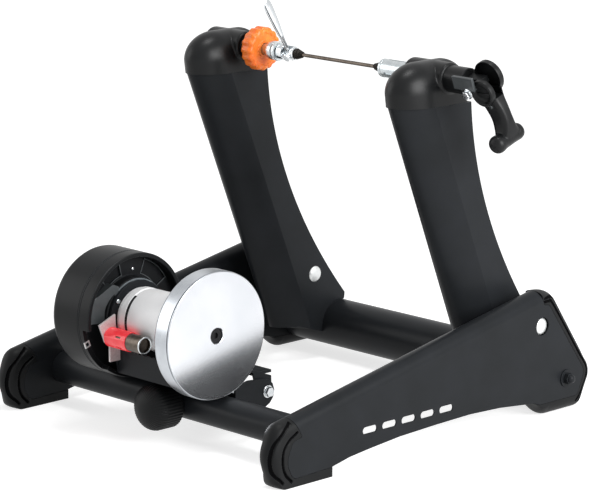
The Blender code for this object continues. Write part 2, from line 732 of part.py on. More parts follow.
def skewer_rod():
    centre = (0, AXLE_Y, AXLE_Z)
    return rod(SKEWER_RADIUS, SKEWER_SPRING_LEFT, SKEWER_RIGHT + 1.5 * MM, centre, steps=16)


def skewer_head():
    """Cam housing that the quick-release lever turns in."""
    centre = (0, AXLE_Y, AXLE_Z)
    left = SKEWER_LEFT
    end = SKEWER_SPRING_LEFT - GAP
    body = turned([(4.5 * MM, left - 5.5 * MM), (5.5 * MM, left - 4.5 * MM), (5.5 * MM, left), (9.0 * MM, left),
                   (9.8 * MM, left + 0.8 * MM), (9.8 * MM, left + 11 * MM), (8.4 * MM, left + 12 * MM),
                   (8.4 * MM, end - 1 * MM), (7.4 * MM, end)], centre, X_AXIS)
    along, across = skewer_lever_axes()
    hub = Vector((SKEWER_LEVER_X, AXLE_Y, AXLE_Z))
    pocket = rod(5.0 * MM + RUNNING, -13 * MM, 4.5 * MM, hub, across, ROUND)
    mouth = oriented_block(hub - X_AXIS * 3.4 * MM + along * 9 * MM - across * 4 * MM, (X_AXIS, along, across),
                           (7.7 * MM, 9 * MM, 8.5 * MM))
    return cut(body, pocket, mouth)


def skewer_lever_axes():
    """The quick-release lever's direction and its cam's axis, both square to X."""
    angle = math.pi - SKEWER_LEVER_ANGLE
    along = Vector((0, math.cos(angle), math.sin(angle)))
    across = Vector((0, math.sin(angle), -math.cos(angle)))
    return along, across


def skewer_lever():
    """Quick-release lever: round cam, thin neck and a flat blade."""
    along, across = skewer_lever_axes()
    hub = Vector((SKEWER_LEVER_X, AXLE_Y, AXLE_Z))
    cam = rod(5.0 * MM, -12 * MM, 4.2 * MM, hub, across, SMALL_ROUND)
    rings = []
    for share, wide, thick in ((0.03, 3.2, 2.6), (0.16, 2.4, 2.4), (0.3, 2.6, 2.2), (0.45, 4.6, 2.2), (0.62, 5.8, 2.3),
                               (0.85, 6.4, 2.2), (0.95, 5.4, 2.0), (1.0, 2.6, 1.4)):
        centre = hub - across * 4 * MM + along * SKEWER_LEVER_LENGTH * share
        ring = []
        for step in range(12):
            turn = math.tau * step / 12
            ring.append(centre + across * wide * MM * math.cos(turn) + X_AXIS * thick * MM * math.sin(turn))
        rings.append(ring)
    return join(cam, loft(rings))


def skewer_nut():
    centre = (0, AXLE_Y, AXLE_Z)
    left, right = (SKEWER_RIGHT - 2.0 * MM, SKEWER_RIGHT + 5.5 * MM)
    return turned([(SKEWER_RADIUS + RUNNING, left), (4.5 * MM, left), (5.4 * MM, left + 1.0 * MM),
                   (5.4 * MM, right - 1.0 * MM), (4.6 * MM, right), (SKEWER_RADIUS + RUNNING, right)],
                  centre, X_AXIS, SMALL_ROUND, bored=True)


def conical_spring(wide_end, narrow_end):
    """One unbroken wire coil round the skewer, wide at one end."""
    steps = round(SPRING_TURNS * 10)
    wide = 7.0 * MM
    narrow = SKEWER_RADIUS + SPRING_WIRE + 0.4 * MM
    span = narrow_end - wide_end
    points = []
    for step in range(steps + 1):
        share = step / steps
        angle = math.tau * SPRING_TURNS * share
        radius = wide + (narrow - wide) * share
        points.append(Vector((wide_end + span * share, AXLE_Y + radius * math.cos(angle),
                              AXLE_Z + radius * math.sin(angle))))
    print("spring: least gap between its curls %.2f mm" % (curl_gap(points, 6, SPRING_WIRE) / MM))
    return swept(points, SPRING_WIRE, 6)


def curl_gap(points, apart, wire):
    """Least gap between the wire's stretches that are more than a few points apart."""
    pairs = ((first, second) for index, first in enumerate(points) for second in points[index + apart:])
    return min((first - second).length for first, second in pairs) - 2 * wire


def swept(points, radius, sides):
    """A round wire along a path, with square ends."""
    rings = []
    up = X_AXIS
    for index, point in enumerate(points):
        before = points[max(index - 1, 0)]
        after = points[min(index + 1, len(points) - 1)]
        along = (after - before).normalized()
        side = along.cross(up).normalized()
        rise = side.cross(along)
        rings.append([point + (side * math.cos(math.tau * k / sides) + rise * math.sin(math.tau * k / sides)) * radius
                      for k in range(sides)])
    return loft(rings)


def unit_bracket():
    """Cross plate on the rear bar with two ears for the unit's pivot bolt."""
    back = REAR_BAR_Y + REAR_BAR_RADIUS + GAP
    ear = [(back, 26 * MM), (-121 * MM, 36 * MM), (-107 * MM, 43 * MM), (-102 * MM, 56 * MM),
           (-106 * MM, 66 * MM), (-116 * MM, 70 * MM), (back, 61 * MM)]
    plate = block((-BRACKET_HALF, back, 26 * MM), (BRACKET_HALF, back + PLATE, 61 * MM))
    ears = [prism(ear, side - PLATE / 2, side + PLATE / 2)
            for side in (-BRACKET_HALF + PLATE / 2, BRACKET_HALF - PLATE / 2)]
    body = join(plate, *ears)
    return cut(body,
               rod(UNIT_BOLT_RADIUS + RUNNING, -100 * MM, 100 * MM, (0, UNIT_PIVOT_Y, UNIT_PIVOT_Z), steps=ROUND),
               rod(PRESS_SCREW_RADIUS + 1.2 * MM, -30 * MM, 30 * MM, (0, back, PRESS_Z), Y_AXIS))


def unit_bolt():
    centre = (0, UNIT_PIVOT_Y, UNIT_PIVOT_Z)
    shank = rod(UNIT_BOLT_RADIUS, -86 * MM, BRACKET_HALF + 2 * MM, centre, steps=ROUND)
    head = hexagon(14.0 * MM, BRACKET_HALF + GAP, BRACKET_HALF + 6 * MM, centre)
    flange = rod(9.5 * MM, BRACKET_HALF + GAP, BRACKET_HALF + 1.6 * MM, centre, steps=SMALL_ROUND)
    return join(shank, head, flange)


def unit_bolt_nut():
    return bored_nut(13.0 * MM, UNIT_BOLT_RADIUS + RUNNING, BRACKET_HALF + GAP, BRACKET_HALF + 7 * MM,
                     (0, UNIT_PIVOT_Y, UNIT_PIVOT_Z), -X_AXIS)


def unit_frame():
    """Bent plate under the roller: arms at the pivot, lugs for the press nut, a side plate for the drum."""
    low = 78.0 * MM
    tongue = block((-58.7 * MM, WALL_REAR_Y, low), (54.0 * MM, -126 * MM, low + PLATE))
    wall = block((-58.7 * MM, WALL_REAR_Y, low), (54.0 * MM, WALL_REAR_Y + PLATE, 108 * MM))
    arm_half = BRACKET_HALF - PLATE - GAP
    cross = block((-arm_half, -134 * MM, low), (arm_half, -104 * MM, low + PLATE))
    arm = [(-134 * MM, low + PLATE), (-140 * MM, 87 * MM), (-131 * MM, 84 * MM), (-104 * MM, 74 * MM),
           (-103 * MM, 54 * MM), (-110 * MM, 46 * MM), (-119 * MM, 46 * MM), (-126 * MM, 54 * MM)]
    arms = [prism(arm, side, side + PLATE) for side in (-arm_half, arm_half - PLATE)]
    lug = [(-128 * MM, low + 1 * MM), (-104 * MM, low + 1 * MM), (-102 * MM, 56 * MM), (-104.5 * MM, 36 * MM),
           (-123.5 * MM, 36 * MM), (-126 * MM, 56 * MM)]
    lugs = [prism(lug, side, side + PLATE) for side in (-15 * MM, 15 * MM - PLATE)]
    outline = [(WALL_REAR_Y, low + 1 * MM), (-172 * MM, low + 1 * MM)]
    for step in range(15):
        angle = math.radians(-25 + 230 * step / 14)
        outline.append((UNIT_Y + 45 * MM * math.cos(angle), UNIT_Z + 45 * MM * math.sin(angle)))
    side_plate = prism(outline, -58.7 * MM, -58.7 * MM + 3 * MM)
    body = join(tongue, wall, cross, side_plate, *arms, *lugs)
    pivot = (0, UNIT_PIVOT_Y, UNIT_PIVOT_Z)
    return cut(body, rod(UNIT_BOLT_RADIUS + 2 * RUNNING, -100 * MM, 100 * MM, pivot, steps=ROUND),
               rod(NUT_RADIUS + 0.5 * MM, -30 * MM, 30 * MM, (0, UNIT_PIVOT_Y, PRESS_Z)),
               rod(SHAFT_RADIUS + 6 * MM, -80 * MM, -40 * MM, (0, UNIT_Y, UNIT_Z), steps=ROUND))


def press_nut():
    """Cross-drilled round nut that the press screw pulls."""
    body = rod(NUT_RADIUS, -17.5 * MM, 17.5 * MM, (0, UNIT_PIVOT_Y, PRESS_Z), steps=ROUND)
    return cut(body, rod(PRESS_SCREW_RADIUS + RUNNING, -20 * MM, 20 * MM,
                         (0, UNIT_PIVOT_Y, PRESS_Z), Y_AXIS, ROUND))


def press_knob():
    """Ribbed dome knob behind the rear bar."""
    face = REAR_BAR_Y - REAR_BAR_RADIUS - 1.0 * MM
    length = face - PRESS_KNOB_NOSE
    profile = [(PRESS_KNOB_RADIUS * 0.93, 0.0), (PRESS_KNOB_RADIUS, 2 * MM), (PRESS_KNOB_RADIUS, length - 21 * MM)]
    for step in range(1, 7):
        angle = math.radians(14.5 * step)
        profile.append((PRESS_KNOB_RADIUS * math.cos(angle), length - 21 * MM + 21 * MM * math.sin(angle)))

    def ribs(angle):
        return 1.0 + 0.02 * math.cos(18 * angle)

    body = turned(profile, (0, face, PRESS_Z), -Y_AXIS, 36, wave=ribs)
    return cut(body, rod(PRESS_SCREW_RADIUS + RUNNING, -1 * MM, 22 * MM, (0, face, PRESS_Z), -Y_AXIS, ROUND))


def press_screw():
    face = REAR_BAR_Y - REAR_BAR_RADIUS - 1.0 * MM
    return rod(PRESS_SCREW_RADIUS, face - 21 * MM, -101 * MM, (0, 0, PRESS_Z), Y_AXIS, ROUND, 0.8 * MM)


def rest_block():
    low = REAR_BAR_Z + REAR_BAR_RADIUS + GAP
    return block((-22 * MM, REAR_BAR_Y - 8 * MM, low), (22 * MM, REAR_BAR_Y + 8 * MM, 78 * MM - GAP))


def drum_cover():
    """Round cup over the brake, closed at its far end."""
    r = DRUM_RADIUS
    left = DRUM_LEFT
    right = DRUM_SEAM - GAP / 2
    inner = r - DRUM_WALL
    profile = [(6 * MM, left), (r - 10 * MM, left), (r - 3 * MM, left + 2.5 * MM), (r, left + 9 * MM), (r, right),
               (inner, right), (inner, left + 10 * MM), (inner - 6 * MM, left + DRUM_WALL), (6 * MM, left + DRUM_WALL)]
    return turned(profile, (0, UNIT_Y, UNIT_Z), X_AXIS, FINE_ROUND, bored=True)


def drum_housing():
    """Ring, web and boss towards the roller; the ring is cut away low at the back."""
    centre = (0, UNIT_Y, UNIT_Z)
    r = DRUM_RADIUS
    left = DRUM_SEAM + GAP / 2
    web = left + 3.5 * MM
    profile = [(11 * MM, left), (r, left), (r, DRUM_RIGHT - 1.5 * MM), (r - 1.5 * MM, DRUM_RIGHT),
               (r - 5 * MM, DRUM_RIGHT), (r - 5 * MM, web), (48 * MM, web), (46 * MM, DRUM_RIGHT - 1 * MM),
               (40 * MM, DRUM_RIGHT - 1 * MM), (38 * MM, web), (11 * MM, web)]
    body = turned(profile, centre, X_AXIS, FINE_ROUND, bored=True)
    cutters = []
    for middle in (64.0, 118.0):
        cutters.append(sector(50 * MM, 70 * MM, middle - 17, middle + 17, web - 1.2 * MM, web + 10 * MM))
    cutters.append(sector(52 * MM, 90 * MM, 186, 232, web + 3 * MM, 0.0))
    return cut(body, *cutters)


def sector(inner, outer, start, end, low, high):
    """A ring sector about the unit's axis, angles in degrees from +Y towards +Z."""
    steps = 6
    outline = []
    for radius, order in ((outer, range(steps + 1)), (inner, range(steps, -1, -1))):
        for step in order:
            angle = math.radians(start + (end - start) * step / steps)
            outline.append((UNIT_Y + radius * math.cos(angle), UNIT_Z + radius * math.sin(angle)))
    return prism(outline, low, high)


def bearing():
    return pipe(11 * MM - GAP, SHAFT_RADIUS + RUNNING, DRUM_SEAM + 0.5 * MM, DRUM_SEAM + 7.5 * MM,
                (0, UNIT_Y, UNIT_Z))


def shaft():
    return rod(SHAFT_RADIUS, -118 * MM, 80 * MM, (0, UNIT_Y, UNIT_Z), chamfer=0.8 * MM, steps=ROUND)


def rotor():
    profile = [(SHAFT_RADIUS + RUNNING, -110 * MM), (14 * MM, -110 * MM), (14 * MM, -104 * MM), (66 * MM, -104 * MM),
               (66 * MM, -99 * MM), (14 * MM, -99 * MM), (14 * MM, -92 * MM), (SHAFT_RADIUS + RUNNING, -92 * MM)]
    return turned(profile, (0, UNIT_Y, UNIT_Z), X_AXIS, ROUND, bored=True)


def roller():
    """Hollow drive roller with a narrow groove and a collar at the drum end."""
    left = ROLLER_LEFT
    right = FLYWHEEL_LEFT - GAP
    bore = SHAFT_RADIUS + RUNNING
    profile = [(bore, left), (ROLLER_RADIUS - 1.5 * MM, left), (ROLLER_RADIUS, left + 1.5 * MM),
               (ROLLER_RADIUS, -39 * MM), (ROLLER_RADIUS - 1.2 * MM, -38.5 * MM), (ROLLER_RADIUS - 1.2 * MM, -35 * MM),
               (ROLLER_RADIUS, -34.5 * MM), (ROLLER_RADIUS, right), (bore, right)]
    return turned(profile, (0, UNIT_Y, UNIT_Z), X_AXIS, FINE_ROUND, bored=True)


def flywheel():
    """Heavy disc with a turned face, a fine groove by its rim and a bolt pocket."""
    r = FLYWHEEL_RADIUS
    left, right = (FLYWHEEL_LEFT, FLYWHEEL_RIGHT)
    bore = SHAFT_RADIUS + RUNNING
    profile = [(bore, left), (38 * MM, left), (40 * MM, left + 3 * MM), (r - 6 * MM, left + 3 * MM),
               (r - 2 * MM, left + 4.5 * MM), (r, left + 7.5 * MM), (r, right - 3 * MM), (r - 0.6 * MM, right - 1.6 * MM),
               (r - 2.0 * MM, right - 0.6 * MM), (r - 4.0 * MM, right - 0.6 * MM), (r - 5.0 * MM, right),
               (9.6 * MM, right), (9.0 * MM, right - 0.6 * MM), (9.0 * MM, 81 * MM), (bore, 81 * MM)]
    return turned(profile, (0, UNIT_Y, UNIT_Z), X_AXIS, FINE_ROUND, bored=True)


def flywheel_bolt():
    body = rod(8.0 * MM, 81.3 * MM, 85.5 * MM, (0, UNIT_Y, UNIT_Z), steps=24, chamfer=0.5 * MM)
    return cut(body, hexagon(7.0 * MM, 83 * MM, 90 * MM, (0, UNIT_Y, UNIT_Z)))


def sleeve_tube():
    return pipe(TUBE_RADIUS, TUBE_RADIUS - 1.8 * MM, TUBE_LEFT, 11 * MM, (0, TUBE_Y, TUBE_Z))


def red_sleeve():
    return pipe(TUBE_RADIUS + 1.2 * MM, TUBE_RADIUS + RUNNING, TUBE_LEFT, -14 * MM, (0, TUBE_Y, TUBE_Z))


def tube_bracket():
    """Flat plate beside the roller that carries the tube, with a strip down to the frame's wall."""
    outline = [(-265.6 * MM, 120.8 * MM), (-274.8 * MM, 143.7 * MM), (-249.0 * MM, 154.2 * MM)]
    for step in range(4):
        angle = math.radians(178 + 12 * step)
        reach = ROLLER_RADIUS + 2.0 * MM
        outline.append((UNIT_Y + reach * math.cos(angle), UNIT_Z + reach * math.sin(angle)))
    outline += [(WALL_REAR_Y - GAP, 122 * MM), (WALL_REAR_Y - GAP, 95 * MM), (-253.9 * MM, 95 * MM),
                (-254.5 * MM, 117 * MM)]
    return prism(outline, TUBE_LEFT - GAP - 3 * MM, TUBE_LEFT - GAP)


def housing_screw(angle, reach):
    turn = math.radians(angle)
    centre = (0, UNIT_Y + reach * math.cos(turn), UNIT_Z + reach * math.sin(turn))
    return rod(3.0 * MM, -55.4 * MM, -52.8 * MM, centre, steps=12, chamfer=0.6 * MM)


def both_sides(name, build, finish, origin):
    """Adds a left and a right piece; the origin's x is given for the right one."""
    for label, side in (("left", -1), ("right", 1)):
        node("%s_%s" % (name, label), build(side), finish, (side * origin[0], origin[1], origin[2]))


def build_base():
    both_sides("side_member", side_member, "satin_black_steel", (BASE_HALF_WIDTH, 0, 0))
    both_sides("rear_foot_cap", rear_cap, "black_plastic", (BASE_HALF_WIDTH, 0, 0))
    both_sides("front_foot_cap", front_cap, "black_plastic", (BASE_HALF_WIDTH, 0, 0))
    node("rear_cross_bar", rear_bar(), "satin_black_steel", (0, REAR_BAR_Y, REAR_BAR_Z))
    node("pivot_rod", pivot_rod(), "zinc_steel", (0, PIVOT_Y, PIVOT_Z))
    both_sides("pivot_washer", pivot_washer, "satin_black_steel", (BASE_HALF_WIDTH, PIVOT_Y, PIVOT_Z))
    both_sides("pivot_nut", pivot_nut, "satin_black_steel", (BASE_HALF_WIDTH, PIVOT_Y, PIVOT_Z))
    both_sides("lock_button", lock_button, "button_silver", (BASE_HALF_WIDTH, LOCK_Y, LOCK_Z))
    node("unit_bracket", unit_bracket(), "satin_black_steel", (0, UNIT_PIVOT_Y, UNIT_PIVOT_Z))
    node("unit_pivot_bolt", unit_bolt(), "zinc_steel", (0, UNIT_PIVOT_Y, UNIT_PIVOT_Z))
    node("unit_pivot_nut", unit_bolt_nut(), "zinc_steel", (0, UNIT_PIVOT_Y, UNIT_PIVOT_Z))


def build_leg_frame():
    pivot = (0, PIVOT_Y, PIVOT_Z)
    node("front_cross_bar", front_bar(), "satin_black_steel", pivot)
    both_sides("bar_plug", bar_plug, "black_plastic", pivot)
    both_sides("upright", upright, "satin_black_steel", pivot)
    both_sides("elbow_cap", elbow, "black_plastic", pivot)
    both_sides("lock_pin", lock_pin, "button_silver", (UPRIGHT_MID, LOCK_Y, LOCK_Z))


def build_clamp():
    axle = (0, AXLE_Y, AXLE_Z)
    lever = (LEVER_X, AXLE_Y, AXLE_Z)
    node("adjuster_knob", adjuster_knob(), "orange_plastic", axle)
    node("spindle_cup", spindle_cup(), "zinc_steel", axle)
    node("push_rod_cup", push_rod_cup(), "zinc_steel", axle)
    node("lever_clevis", clevis(), "zinc_steel", lever)
    node("cam_lever", cam_lever(), "black_plastic", lever)
    node("lever_pin", lever_pin(), "zinc_steel", lever)


def build_skewer():
    axle = (0, AXLE_Y, AXLE_Z)
    node("skewer_rod", skewer_rod(), "rod_steel", axle)
    node("skewer_head", skewer_head(), "zinc_steel", axle)
    node("skewer_lever", skewer_lever(), "zinc_steel", (SKEWER_LEVER_X, AXLE_Y, AXLE_Z))
    node("skewer_nut", skewer_nut(), "zinc_steel", axle)
    node("skewer_spring_left", conical_spring(SKEWER_SPRING_LEFT + 1.2 * MM, SKEWER_SPRING_LEFT + 9.7 * MM), "rod_steel", axle)
    node("skewer_spring_right", conical_spring(SKEWER_RIGHT - 3.5 * MM, SKEWER_RIGHT - 13.5 * MM), "rod_steel", axle)


def build_unit():
    pivot = (0, UNIT_PIVOT_Y, UNIT_PIVOT_Z)
    axis = (0, UNIT_Y, UNIT_Z)
    node("unit_frame", unit_frame(), "satin_black_steel", pivot)
    node("rest_block", rest_block(), "black_rubber", pivot, smooth=False)
    node("drum_cover", drum_cover(), "drum_black", axis)
    node("drum_housing", drum_housing(), "drum_black", axis)
    node("drum_bearing", bearing(), "zinc_steel", axis)
    node("sleeve_tube", sleeve_tube(), "zinc_steel", axis)
    node("red_sleeve", red_sleeve(), "red_plastic", axis)
    node("tube_bracket", tube_bracket(), "zinc_steel", axis, smooth=False)
    for number, angle in enumerate((35.0, 145.0, 270.0)):
        node("housing_screw_%d" % (number + 1), housing_screw(angle, 41.2 * MM), "zinc_steel", axis)
    node("press_nut", press_nut(), "zinc_steel", (0, UNIT_PIVOT_Y, PRESS_Z))
    node("press_knob", press_knob(), "black_plastic", (0, REAR_BAR_Y, PRESS_Z))
    node("press_screw", press_screw(), "zinc_steel", (0, REAR_BAR_Y, PRESS_Z))
    node("drive_shaft", shaft(), "zinc_steel", axis)
    node("brake_rotor", rotor(), "roller_alloy", axis)
    node("roller", roller(), "roller_alloy", axis)
    node("flywheel", flywheel(), "chrome_steel", axis)
    node("flywheel_bolt", flywheel_bolt(), "black_plastic", axis)


clear_scene()
build_base()
build_leg_frame()
build_clamp()
build_skewer()
build_unit()
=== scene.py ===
"""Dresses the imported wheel-on trainer: fine meshes, procedural finishes, studio light and camera."""
import json
from math import copysign, cos, pi, radians, sin, sqrt, tan, tau

import bmesh
import bpy
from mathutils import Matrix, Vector
from mathutils.kdtree import KDTree


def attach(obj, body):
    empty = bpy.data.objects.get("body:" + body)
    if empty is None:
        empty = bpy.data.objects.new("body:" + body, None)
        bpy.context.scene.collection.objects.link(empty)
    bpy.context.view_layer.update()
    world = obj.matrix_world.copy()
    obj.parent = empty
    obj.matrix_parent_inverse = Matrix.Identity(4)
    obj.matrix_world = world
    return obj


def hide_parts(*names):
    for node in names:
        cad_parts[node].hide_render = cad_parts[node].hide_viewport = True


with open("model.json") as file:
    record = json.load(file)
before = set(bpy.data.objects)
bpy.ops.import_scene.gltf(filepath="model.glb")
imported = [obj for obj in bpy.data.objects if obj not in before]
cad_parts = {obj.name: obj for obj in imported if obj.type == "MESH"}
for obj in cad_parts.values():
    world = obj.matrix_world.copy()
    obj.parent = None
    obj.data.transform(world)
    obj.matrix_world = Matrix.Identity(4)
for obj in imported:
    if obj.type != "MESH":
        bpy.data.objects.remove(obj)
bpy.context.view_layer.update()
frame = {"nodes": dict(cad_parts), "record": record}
NODES = frame["nodes"]
RECORD = frame["record"]
BODY_OF = {node: body for body, nodes in RECORD["behaviour"]["bodies"].items() for node in nodes}
SLOT_OF = {part["node"]: part["material_slot"] for part in RECORD["subparts"]}

MM = 0.001
SHIFT = Vector((-13.85, 0.55, 0.0)) * MM
X = Vector((1, 0, 0))
Y = Vector((0, 1, 0))
Z = Vector((0, 0, 1))
SIGNS = ((-1, -1), (1, -1), (1, 1), (-1, 1))

# Clearance between neighbours, and of a bore round its shaft; lengths are in mm, in the design frame
GAP = 0.3
FIT = 0.05
# Width of the painted highlight along edges, in mm
EDGE_HIGHLIGHT_REACH = 0.7

# Base
HALF_WIDTH = 256.3
MEMBER_THICKNESS = 28.9
MEMBER_WALL = 2.0
REAR_BAR_Y = -188.0
REAR_BAR_Z = 43.7
REAR_BAR_RADIUS = 20.2
FRONT_BAR_RADIUS = 32.3
PIVOT_Y = 235.0
PIVOT_Z = 43.3
BOLT_RADIUS = 4.0
LOCK_Y = 188.8
LOCK_Z = 118.1
LOCK_RADIUS = 11.0
SLOT_COUNT = 5
SLOT_STEP = 33.0
SLOT_FIRST = -130.0
GROOVE_HALF_WIDTH = 2.1
GROOVE_DEPTH = 2.6
GROOVE_FACING = 0.15

# Uprights and elbows
UPRIGHT_MID = 181.0
UPRIGHT_HALF = 30.0
UPRIGHT_WALL = 2.5
UPRIGHT_LIP = 9.0
UPRIGHT_FOLD = 1.5
NOSE_LENGTH = 46.0
NOSE_BOTTOM = 48.5
CREASE_TOP_Y = 37.4
CREASE_LOW_Y = 181.2
FRONT_TOP_Y = 102.6
FRONT_LOW_Y = 246.5
FRONT_LOW_Z = 84.0
FRONT_STRAIGHT_SHARE = 0.137
AXLE_Y = 63.0
AXLE_Z = 441.0
UPRIGHT_TOP = AXLE_Z - 33.0
ELBOW_KNEE = AXLE_Z - 16.0
ELBOW_RISE = 36.0
BARREL_RADIUS = 19.5

# Clamp and skewer
KNOB_LOBES = 16
SPINDLE_RADIUS = 5.0
ROD_RADIUS = 7.0
CUP_RADIUS = 11.8
LEVER_X = 262.0
PIN_RADIUS = 3.0
LEVER_LENGTH = 69.0
LEVER_TILT = radians(20.0)
LEVER_BOW = 35.0
SKEWER_LEFT = -86.7
SKEWER_RIGHT = 98.0
SKEWER_LEVER_X = -65.5
SKEWER_SPRING_LEFT = -57.0
CAM_RADIUS = 5.0
SKEWER_LEVER_LENGTH = 85.0
SKEWER_LEVER_ANGLE = radians(120.0)

# Resistance unit
UNIT_Y = -209.0
UNIT_Z = 145.0
UNIT_PIVOT = Vector((0, -114, 56))
SHAFT_RADIUS = 6.0
SHAFT_BORE = SHAFT_RADIUS + FIT
FLYWHEEL_RADIUS = 78.98
FLYWHEEL_LEFT = 57.5
FLYWHEEL_RIGHT = 87.5
FLYWHEEL_FLOOR = 81.0
ROLLER_RADIUS = 37.5
DRUM_RADIUS = 78.0
DRUM_LEFT = -131.0
DRUM_SEAM = -77.0
DRUM_RIGHT = -59.3
PRESS_Z = 43.7
PRESS_RIBS = 44
PRESS_BORE = 5.05
PRESS_KNOB_RADIUS = 29.0
PRESS_KNOB_NOSE = -254.5
TUBE_Y = -256.5
TUBE_Z = 127.0
TUBE_LEFT = -52.0

AXLE = Vector((0, AXLE_Y, AXLE_Z))
UNIT_AXIS = Vector((0, UNIT_Y, UNIT_Z))


# Finishes

def linear(hex_text):
    """A sRGB hex colour as Blender's linear RGBA."""
    values = [int(hex_text[place:place + 2], 16) / 255 for place in (1, 3, 5)]
    return tuple(v / 12.92 if v <= 0.04045 else ((v + 0.055) / 1.055) ** 2.4 for v in values) + (1,)


def add(tree, kind, inputs=None, **settings):
    """Adds one node with its settings, plain input values and links; a plain kind is a shader node."""
    made = tree.nodes.new(kind if kind.startswith("Geometry") else "ShaderNode" + kind)
    for name, value in settings.items():
        setattr(made, name, value)
    for name, value in (inputs or {}).items():
        if isinstance(value, bpy.types.NodeSocket):
            tree.links.new(value, made.inputs[name])
        else:
            made.inputs[name].default_value = value
    return made


def blank(name):
    material = bpy.data.materials.new(name)
    material.use_nodes = True
    material.node_tree.nodes.clear()
    return material, material.node_tree


def noise(tree, place, size, detail, rough):
    """Noise whose blotches have that size in mm."""
    values = {"Vector": place, "Scale": 1.0 / (size * MM), "Detail": detail, "Roughness": rough}
    return add(tree, "TexNoise", values).outputs["Fac"]


def mapped(tree, value, from_min, from_max, to_min=0.0, to_max=1.0):
    values = {"Value": value, "From Min": from_min, "From Max": from_max, "To Min": to_min,
        "To Max": to_max}
    return add(tree, "MapRange", values).outputs["Result"]


def maths(tree, operation, first, second):
    return add(tree, "Math", {0: first, 1: second}, operation=operation).outputs["Value"]


def tinted(tree, share, first, second):
    """Mixes two colours."""
    return add(tree, "Mix", {0: share, 6: first, 7: second}, data_type="RGBA").outputs[2]


def ring_coordinates(tree, centre):
    """Object coordinates folded into (x, distance from the X line through a centre, 0)."""
    here = add(tree, "TexCoord").outputs["Object"]
    back = -(Vector(centre) * MM + SHIFT)
    moved = add(tree, "Mapping", {"Vector": here, "Location": back}).outputs["Vector"]
    parts = add(tree, "SeparateXYZ", {"Vector": moved}).outputs
    across = add(tree, "CombineXYZ", {"Y": parts["Y"], "Z": parts["Z"]}).outputs["Vector"]
    reach = add(tree, "VectorMath", {0: across}, operation="LENGTH").outputs["Value"]
    return add(tree, "CombineXYZ", {"X": parts["X"], "Y": reach}).outputs["Vector"]


def painted_edge_highlight(tree, amount):
    """A painted edge highlight: 0 on faces, rising to the amount along convex and concave edges."""
    soft = add(tree, "Bevel", {"Radius": EDGE_HIGHLIGHT_REACH * MM}, samples=4).outputs["Normal"]
    plain = add(tree, "NewGeometry").outputs["Normal"]
    match = add(tree, "VectorMath", {0: soft, 1: plain}, operation="DOT_PRODUCT").outputs["Value"]
    return mapped(tree, match, 0.98, 0.8, 0.0, amount)


def leaned(tree, normal, degrees):
    """A normal turned up by that angle where it is level."""
    raised = add(tree, "VectorMath", {0: normal, 1: (0, 0, tan(radians(degrees)))}).outputs["Vector"]
    return add(tree, "VectorMath", {0: raised}, operation="NORMALIZE").outputs["Vector"]


# By the name of a material slot, or by an own name for single pieces
FINISH = {}


def finish(key, name, dark, light, blotch, grain, relief, rough, swing, edge_light=None, centre=None,
        streaks=None, lean=0, **sockets):
    """One procedural surface: colour drift, grain or turning lines, roughness drift and brighter edges as
    a painted highlight.

    blotch, grain and streaks are pattern sizes in mm and relief is the grain's height in mm.
    """
    material, tree = blank(name)
    here = add(tree, "TexCoord").outputs["Object"]
    drift = noise(tree, here, blotch, 4.0, 0.55)
    speck = noise(tree, here, grain, 2.0, 0.6)
    if streaks:
        lines = noise(tree, ring_coordinates(tree, centre), streaks, 3.0, 0.7)
        speck = add(tree, "Mix", {"Factor": 0.25, "A": lines, "B": speck}).outputs["Result"]
    colour = tinted(tree, mapped(tree, drift, 0.3, 0.7), linear(dark), linear(light))
    # A lighter colour along the edges: a painted highlight
    if edge_light:
        colour = tinted(tree, painted_edge_highlight(tree, edge_light[1]), colour, linear(edge_light[0]))
    mixed = add(tree, "Mix", {"Factor": 0.5, "A": drift, "B": speck}).outputs["Result"]
    gloss = mapped(tree, mixed, 0.3, 0.7, rough - swing, rough + swing)
    bump = {"Height": speck, "Strength": 0.6, "Distance": relief * MM}
    normal = add(tree, "Bump", bump).outputs["Normal"]
    if lean:
        normal = leaned(tree, normal, lean)
    shader = add(tree, "BsdfPrincipled", {"Base Color": colour, "Roughness": gloss, "Normal": normal})
    for socket, value in sockets.items():
        shader.inputs[socket.replace("_", " ")].default_value = value
    add(tree, "OutputMaterial", {"Surface": shader.outputs["BSDF"]}, target="ALL")
    FINISH[key] = material


# Satin black powder coat on steel: near black, soft broad highlights, a faint orange peel
finish("satin_black_steel", "Powder_coated_steel_satin_black", "#1d1f21", "#222427", 60, 1.3, 0.02,
    0.36, 0.04, edge_light=("#3a3e42", 0.5), Specular_IOR_Level=0.1)
# Moulded ABS with a spark-eroded texture: dull black, finely pebbled, highlights spread wide
finish("black_plastic", "Moulded_ABS_spark_textured_black", "#0f1011", "#141516", 40, 0.7, 0.03, 0.47,
    0.04, edge_light=("#2c2f32", 0.45), Specular_IOR_Level=0.14)
# The same ABS from a polished mould: darker, with softer-edged but clearer highlights
finish("elbow", "Moulded_ABS_satin_black", "#0e0f10", "#141516", 40, 0.9, 0.02, 0.36, 0.04,
    edge_light=("#2c2f32", 0.4), Specular_IOR_Level=0.2)
# Painted drum, pressed steel: black with a slight sheen
finish("drum_black", "Painted_pressed_steel_drum_black", "#131415", "#18191b", 45, 1, 0.02, 0.38, 0.05,
    edge_light=("#565b5f", 0.7), Specular_IOR_Level=0.12)
# Bright zinc plate on turned steel: cool white-grey with thin turning lines
finish("zinc_steel", "Zinc_plated_turned_steel", "#b4babd", "#cdd2d3", 14, 0.9, 0.015, 0.26, 0.07,
    centre=AXLE, streaks=0.45, edge_light=("#e6eaea", 0.4), Metallic=1.0)
# Fine-turned aluminium roller: white metal, soft rings round the roller
finish("roller_alloy", "Aluminium_fine_turned", "#f6f6f7", "#fdfdfe", 22, 0.8, 0.02, 0.4, 0.06,
    centre=UNIT_AXIS, streaks=0.5, edge_light=("#f0f1f1", 0.3), Metallic=0.05)
